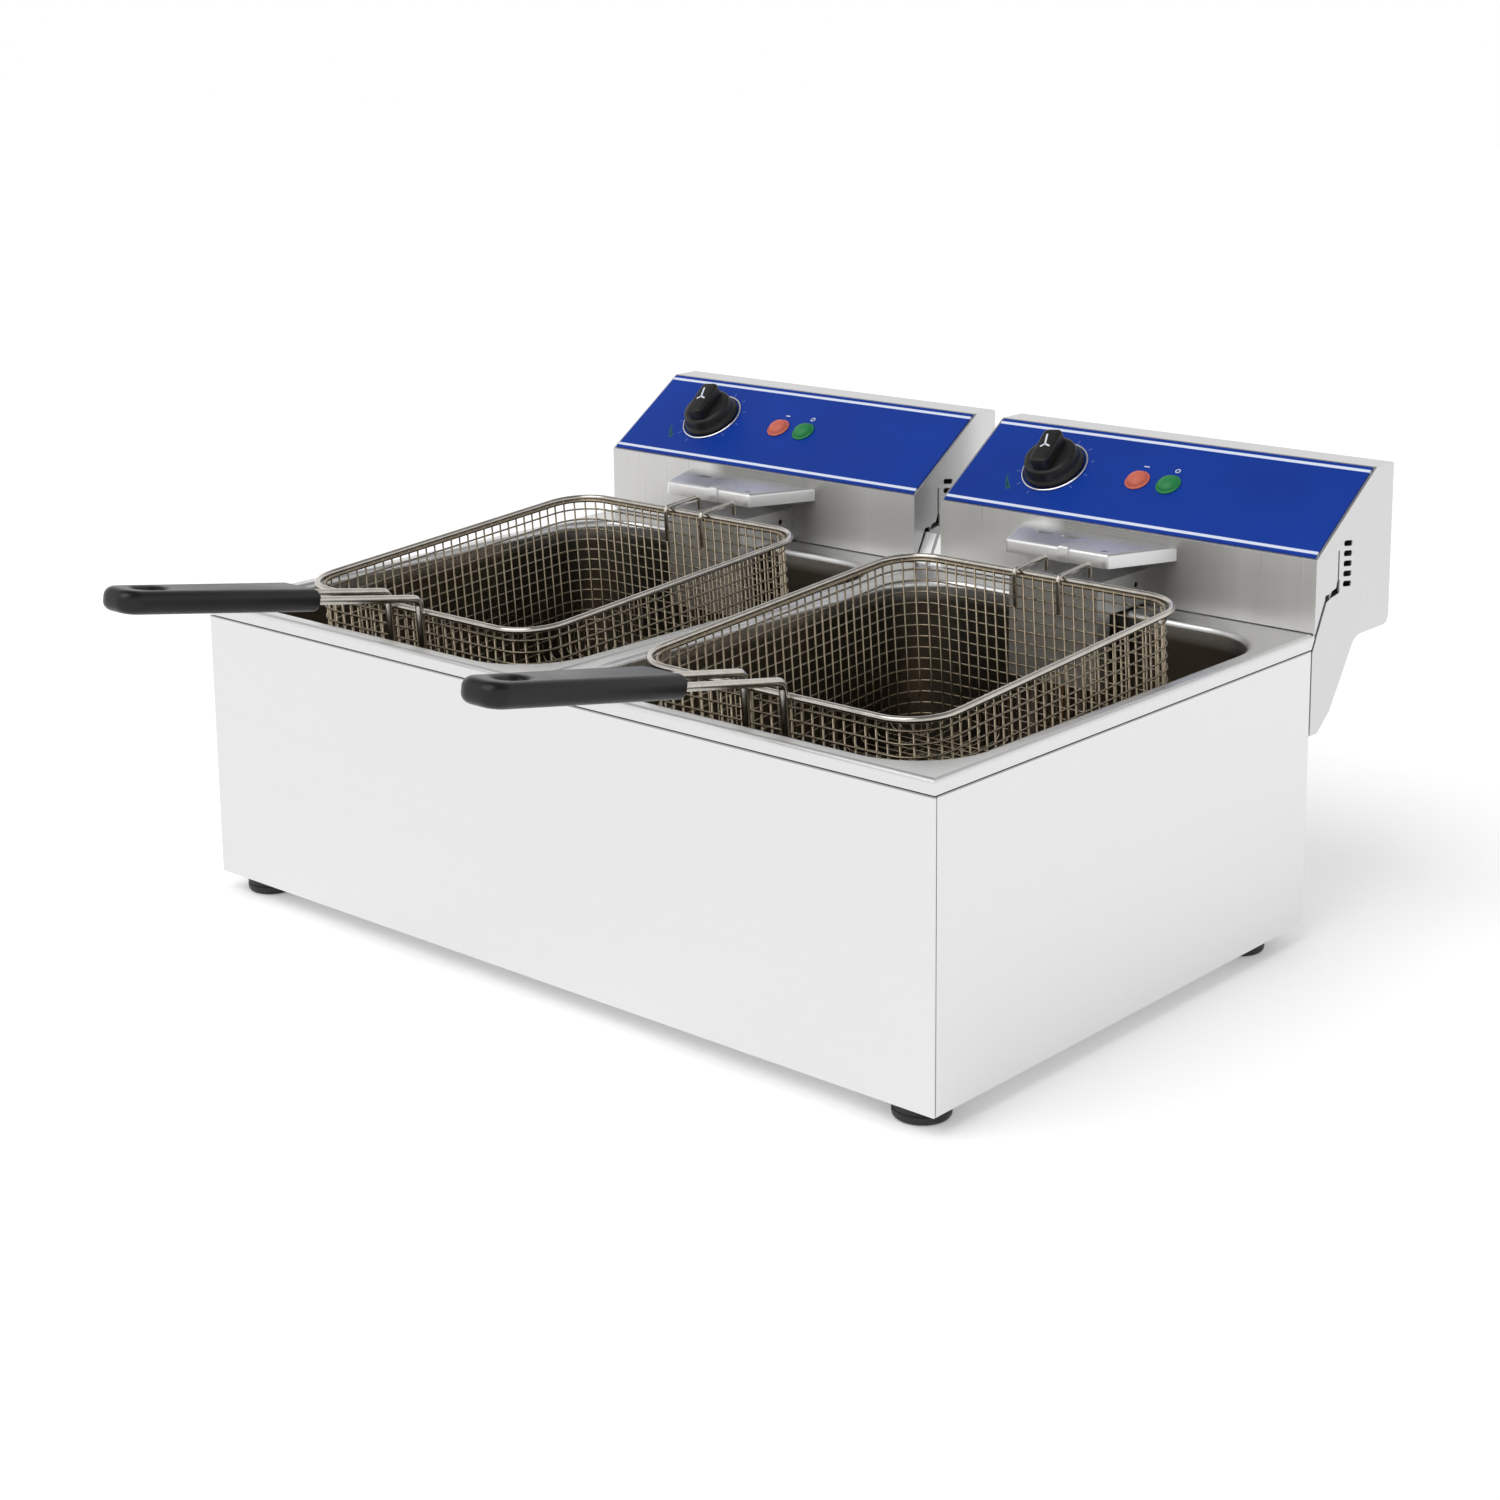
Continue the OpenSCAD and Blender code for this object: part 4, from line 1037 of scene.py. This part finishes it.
def makeKnob(side, sign):
    c = knob
    flat = slopeFrame(sign, c["x"], c["along"], c["up"])
    where = flat @ Matrix.Rotation(math.radians(c["turn"]), 4, "Z")
    makeSkirt(side, c, where)
    makeBar(side, c, where)
    makePointer(side, c, where)


for side, sign in units:
    makeKnobRing(side, sign)
    makeKnob(side, sign)
print("knobs made")

# lamps: low domed lenses on a thin flange
lamp = {
    "xs": {"red_lamp": 130 * mm, "green_lamp": 153 * mm},
    "along": 42 * mm,
    "profile": ((8.0, 0), (8.3, 0.3), (8.3, 0.7), (8.0, 1.0), (7.3, 1.1), (7.0, 1.5),
                (6.7, 2.3), (6.0, 3.1), (4.8, 3.8), (3.2, 4.35), (1.6, 4.6), (0.4, 4.68)),
    "steps": 48,
    "smooth": 60,
}


def makeLamp(side, sign, part, finish):
    c = lamp
    verts, faces = [], []
    revolve(verts, faces, [(r * mm, z * mm) for r, z in c["profile"]], c["steps"])
    where = slopeFrame(sign, c["xs"][part], c["along"], head["film"])
    piece = linkMesh(side + "_" + part + "Lens", verts, faces, finish, where, c["smooth"])
    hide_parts(side + "_" + part)
    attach(piece, side + "_head")


for side, sign in units:
    makeLamp(side, sign, "red_lamp", redLens)
    makeLamp(side, sign, "green_lamp", greenLens)
print("lamps made")

# hanger shelf: one bent sheet with a lip along its front and slanted sides, two hook slots and a strap
shelf = {
    "x": -10 * mm,
    "up": 229.6 * mm,
    "backHalf": 58 * mm,
    "frontHalf": 38 * mm,
    "deep": 45.5 * mm,
    "sheet": 1.2 * mm,
    "bend": 2.0 * mm,
    "lip": 9 * mm,
    "corner": 3 * mm,
    "backCorner": 0.1 * mm,
    "cornerSteps": 6,
    "bendSteps": 4,
    "slotSteps": 24,
    "holeSteps": 16,
    "smooth": 30,
    "slots": (-29 * mm, -9 * mm),
    "slotLong": 14 * mm,
    "slotWide": 6 * mm,
    "slotBack": 28 * mm,
    "holeIn": 7 * mm,
    "hole": 4.2 * mm,
    "strapX": 6 * mm,
    "strapWide": 7 * mm,
    "strapBack": 20 * mm,
    "strapHigh": 1.2 * mm,
    "strapBend": 1.6 * mm,
    "flangeIn": 5 * mm,
    "flangeRound": 1.5 * mm,
    "flangeEdge": 0.3 * mm,
    "off": 0.1 * mm,  # between the shelf and the head
    "hair": 0.02 * mm,  # between the shelf's own sheets
}


def addWall(verts, faces, row, low, high):
    # the wall of a hole through a sheet; row is the hole's outline, and the loops' first numbers come back
    first = len(verts)
    count = len(row)
    for z in (low, high):
        verts += [Vector((p.x, p.y, z)) for p in row]
    for k in range(count):
        n = (k + 1) % count
        faces.append((first + n, first + k, first + count + k, first + count + n))
    return first, first + count


def shelfRim(c):
    # the lipped edge, from the back left round the front, as pairs of place and outward direction
    corners = [Vector((-c["backHalf"], 0, 0)), Vector((-c["frontHalf"], -c["deep"], 0)),
               Vector((c["frontHalf"], -c["deep"], 0)), Vector((c["backHalf"], 0, 0))]
    rounded = roundCorners(corners, [c["backCorner"], c["corner"], c["corner"], c["backCorner"]],
                           c["cornerSteps"])
    turn = c["cornerSteps"] + 1
    front = rounded[turn:3 * turn]
    return [(corners[0], front[0][1])] + front + [(corners[3], front[-1][1])]


def shelfHoles(c):
    # outlines of the hook slots and of the round hole by the front right corner
    rows = []
    half, r = (c["slotLong"] - c["slotWide"]) / 2, c["slotWide"] / 2
    for x in c["slots"]:
        middle = Vector((x, c["slotBack"] - c["deep"], 0))
        rows.append([middle + Vector((math.copysign(half, math.cos(a)), 0, 0)) + polar(r, a)
                     for a in turns(c["slotSteps"], 0.5)])
    middle = Vector((c["frontHalf"] - c["holeIn"], c["holeIn"] - c["deep"], 0))
    rows.append([middle + polar(c["hole"] / 2, a) for a in turns(c["holeSteps"])])
    return rows


def addSheet(verts, faces, c, rim):
    # the bent sheet: its lip follows the rim, and its flat top has the slots and the hole
    t, bend = c["sheet"], c["bend"]
    arcs = quarter(c["bendSteps"])
    inner = bend - t
    profile = [(bend * (1 - math.sin(a)), t - bend * (1 - math.cos(a))) for a in arcs]
    profile += [(0, t - c["lip"]), (t, t - c["lip"])]
    profile += [(bend - inner * math.sin(a), t - bend + inner * math.cos(a)) for a in reversed(arcs)]
    count = len(profile)
    for place, away in rim:
        # the lip's ends stay on the plane of the back edge
        level = place.y > -0.01 * mm
        for inset, z in profile:
            p = place - away * inset
            if level:
                p = Vector((place.x - math.copysign(inset / abs(away.x), place.x), 0, 0))
            verts.append(Vector((p.x, p.y, z)))
    for i in range(len(rim) - 1):
        for k in range(count - 1):
            a, b = i * count + k, (i + 1) * count + k
            faces.append((a, b, b + 1, a + 1))
    ends = (0, (len(rim) - 1) * count)
    faces.append(tuple(ends[0] + k for k in range(count)))
    faces.append(tuple(ends[1] + k for k in reversed(range(count))))
    walls = [addWall(verts, faces, row, 0, t) + (len(row),) for row in shelfHoles(c)]
    for top in (True, False):
        edge = 0 if top else count - 1
        loops = [[i * count + edge for i in range(len(rim))]]
        loops += [[(high if top else low) + k for k in range(size)] for low, high, size in walls]
        addFlat(verts, faces, loops, top)
    faces.append((0, ends[1], ends[1] + count - 1, count - 1))


def addStrap(verts, faces, c):
    # a strap folded over the front lip, drawn out along X
    t, y, bend = c["sheet"], -c["deep"], c["strapBend"]
    top, back, hair = t + c["strapHigh"], y + c["strapBack"], c["hair"]
    section = [(y - t, t - c["lip"])]
    for a in quarter(c["bendSteps"]):
        section.append((y - t + bend * (1 - math.cos(a)), top - bend * (1 - math.sin(a))))
    section += [(back, top), (back, t + hair), (y + c["bend"], t + hair),
                (y - hair, t - c["bend"]), (y - hair, t - c["lip"])]
    ends = (c["strapX"] - c["strapWide"] / 2, c["strapX"] + c["strapWide"] / 2)
    addRings(verts, faces, [[Vector((x, *p)) for p in section] for x in ends])


def makeFlange(side, c, where):
    # the flange that the shelf is fixed by, turned down against the head
    outline = roundCorners(rectangle(c["backHalf"] - c["flangeIn"], c["lip"] / 2),
                           [c["flangeRound"]] * 4, c["bendSteps"])
    stand = Matrix.Translation((0, -c["sheet"] / 2, -c["lip"] / 2 - c["hair"]))
    where = where @ stand @ Matrix.Rotation(math.radians(90), 4, "X")
    name = side + "_shelfFlange"
    flange = slabPiece(name, outline, [], c["sheet"], c["flangeEdge"], bracketSteel, where, 40)
    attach(flange, side + "_head")


def makeShelf(side, sign):
    c = shelf
    verts, faces = [], []
    addSheet(verts, faces, c, shelfRim(c))
    addStrap(verts, faces, c)
    where = Matrix.Translation((sign * wellMiddle[0] + c["x"], head["faceY"] - c["off"], c["up"]))
    piece = linkMesh(side + "_shelfSheet", verts, faces, bracketSteel, where, c["smooth"])
    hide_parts(side + "_hanger_shelf")
    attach(piece, side + "_head")
    makeFlange(side, c, where)


for side, sign in units:
    makeShelf(side, sign)
print("shelves made")

# plain marks printed on the fascia: dial ticks, a green start mark, a dash and a ring over the lamps
prints = {
    "thick": 0.05 * mm,
    "ticks": 11,
    "tickFrom": -125,
    "tickTo": 165,
    "tickIn": 24.6 * mm,
    "tickOut": 26.8 * mm,
    "tickWide": 0.7 * mm,
    "greenFrom": 202,
    "greenTo": 226,
    "greenMiddle": 32.75 * mm,
    "greenWide": 3.5 * mm,
    "greenParts": 8,
    "overLamp": 13.0 * mm,
    "dashHalf": 1.8 * mm,
    "dashWide": 0.8 * mm,
    "zeroRound": 1.5 * mm,
    "zeroWide": 0.7 * mm,
    "zeroParts": 12,
}


def addArc(verts, faces, centre, radius, angles, wides):
    # a bent line of strokes, one between each angle and the next
    for a, b, wide in zip(angles, angles[1:], wides):
        addStroke(verts, faces, centre + polar(radius, a), centre + polar(radius, b), wide, prints["thick"])


def printPiece(name, side, verts, faces, where, finish):
    piece = linkMesh(name, verts, faces, finish, where, 0)
    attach(piece, side + "_head")


def makeDialMarks(side, sign):
    c = prints
    where = slopeFrame(sign, knob["x"], knob["along"], head["film"])
    verts, faces = [], []
    for i in range(c["ticks"]):
        a = math.radians(90 + c["tickFrom"] + (c["tickTo"] - c["tickFrom"]) * i / (c["ticks"] - 1))
        addStroke(verts, faces, polar(c["tickIn"], a), polar(c["tickOut"], a), c["tickWide"], c["thick"])
    printPiece(side + "_dialTicks", side, verts, faces, where, fadedPrint)
    verts, faces = [], []
    parts, sweep = c["greenParts"], c["greenTo"] - c["greenFrom"]
    angles = [math.radians(c["greenFrom"] + sweep * k / parts) for k in range(parts + 1)]
    wides = [c["greenWide"] * (0.3 + 0.1 * k) for k in range(parts)]  # the mark swells as it goes round
    addArc(verts, faces, Vector((0, 0, 0)), c["greenMiddle"], angles, wides)
    printPiece(side + "_startMark", side, verts, faces, where, greenPrint)


def makeLampMarks(side, sign):
    c = prints
    verts, faces = [], []
    dash = Vector((c["dashHalf"], 0, 0))
    addStroke(verts, faces, -dash, dash, c["dashWide"], c["thick"])
    shift = Vector((lamp["xs"]["green_lamp"] - lamp["xs"]["red_lamp"], 0, 0))
    parts = c["zeroParts"]
    angles = turns(parts) + [2 * math.pi]
    addArc(verts, faces, shift, c["zeroRound"], angles, [c["zeroWide"]] * parts)
    where = slopeFrame(sign, lamp["xs"]["red_lamp"], lamp["along"] + c["overLamp"], head["film"])
    printPiece(side + "_lampMarks", side, verts, faces, where, whitePrint)


for side, sign in units:
    makeDialMarks(side, sign)
    makeLampMarks(side, sign)
print("prints made")

# rubber feet with a groove round them
foot = {
    "xs": (-266 * mm, 266 * mm),
    "ys": (-129 * mm, 178 * mm),
    "profile": ((5.6, 0.0), (13.2, 0.0), (15.0, 0.7), (15.8, 1.9), (16.0, 3.2), (16.0, 5.0), (15.3, 5.5),
                (15.3, 6.3), (16.0, 6.8), (16.0, 10.9), (15.6, 11.5), (14.6, 11.9), (5.6, 11.95)),
    "steps": 48,
    "smooth": 45,
}


def makeFeet(c):
    verts, faces = [], []
    profile = [(r * mm, z * mm) for r, z in c["profile"]]
    for x in c["xs"]:
        for y in c["ys"]:
            revolve(verts, faces, profile, c["steps"], Vector((x, y, 0)))
    piece = linkMesh("rubberFeet", verts, faces, blackRubber, angle=c["smooth"])
    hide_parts("feet")
    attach(piece, "body")


makeFeet(foot)
print("feet made")

# floor: pale and matt, white to the camera and to metal, with the object's shadow kept
floorSet = {"half": 6.0, "cells": 24, "tone": 0.93, "shade": 0.995, "lift": 0.22}


def makeFloor(c):
    n, h = c["cells"], c["half"]
    marks = [h * (2 * i / n - 1) for i in range(n + 1)]
    verts = [Vector((x, y, 0)) for y in marks for x in marks]
    corners = [k * (n + 1) + i for k in range(n) for i in range(n)]
    faces = [(a, a + 1, a + n + 2, a + n + 1) for a in corners]
    mat, tree, bsdf = newFinish("floor")
    noise = grainNoise(tree, (5, 5, 5), detail=2)
    pale = (c["tone"],) * 3
    tree.links.new(mixTones(tree, noise, scaled(pale, c["shade"]), pale), bsdf.inputs["Base Color"])
    bsdf.inputs["Roughness"].default_value = 1.0
    bsdf.inputs["Specular IOR Level"].default_value = 0.0
    bsdf.inputs["Emission Color"].default_value = (1, 1, 1, 1)
    seen = mathNode(tree, "MAXIMUM", *rayKinds(tree))
    glow = mathNode(tree, "MULTIPLY", seen, c["lift"])
    tree.links.new(glow, bsdf.inputs["Emission Strength"])
    linkMesh("floor", verts, faces, mat)


makeFloor(floorSet)
print("floor laid")
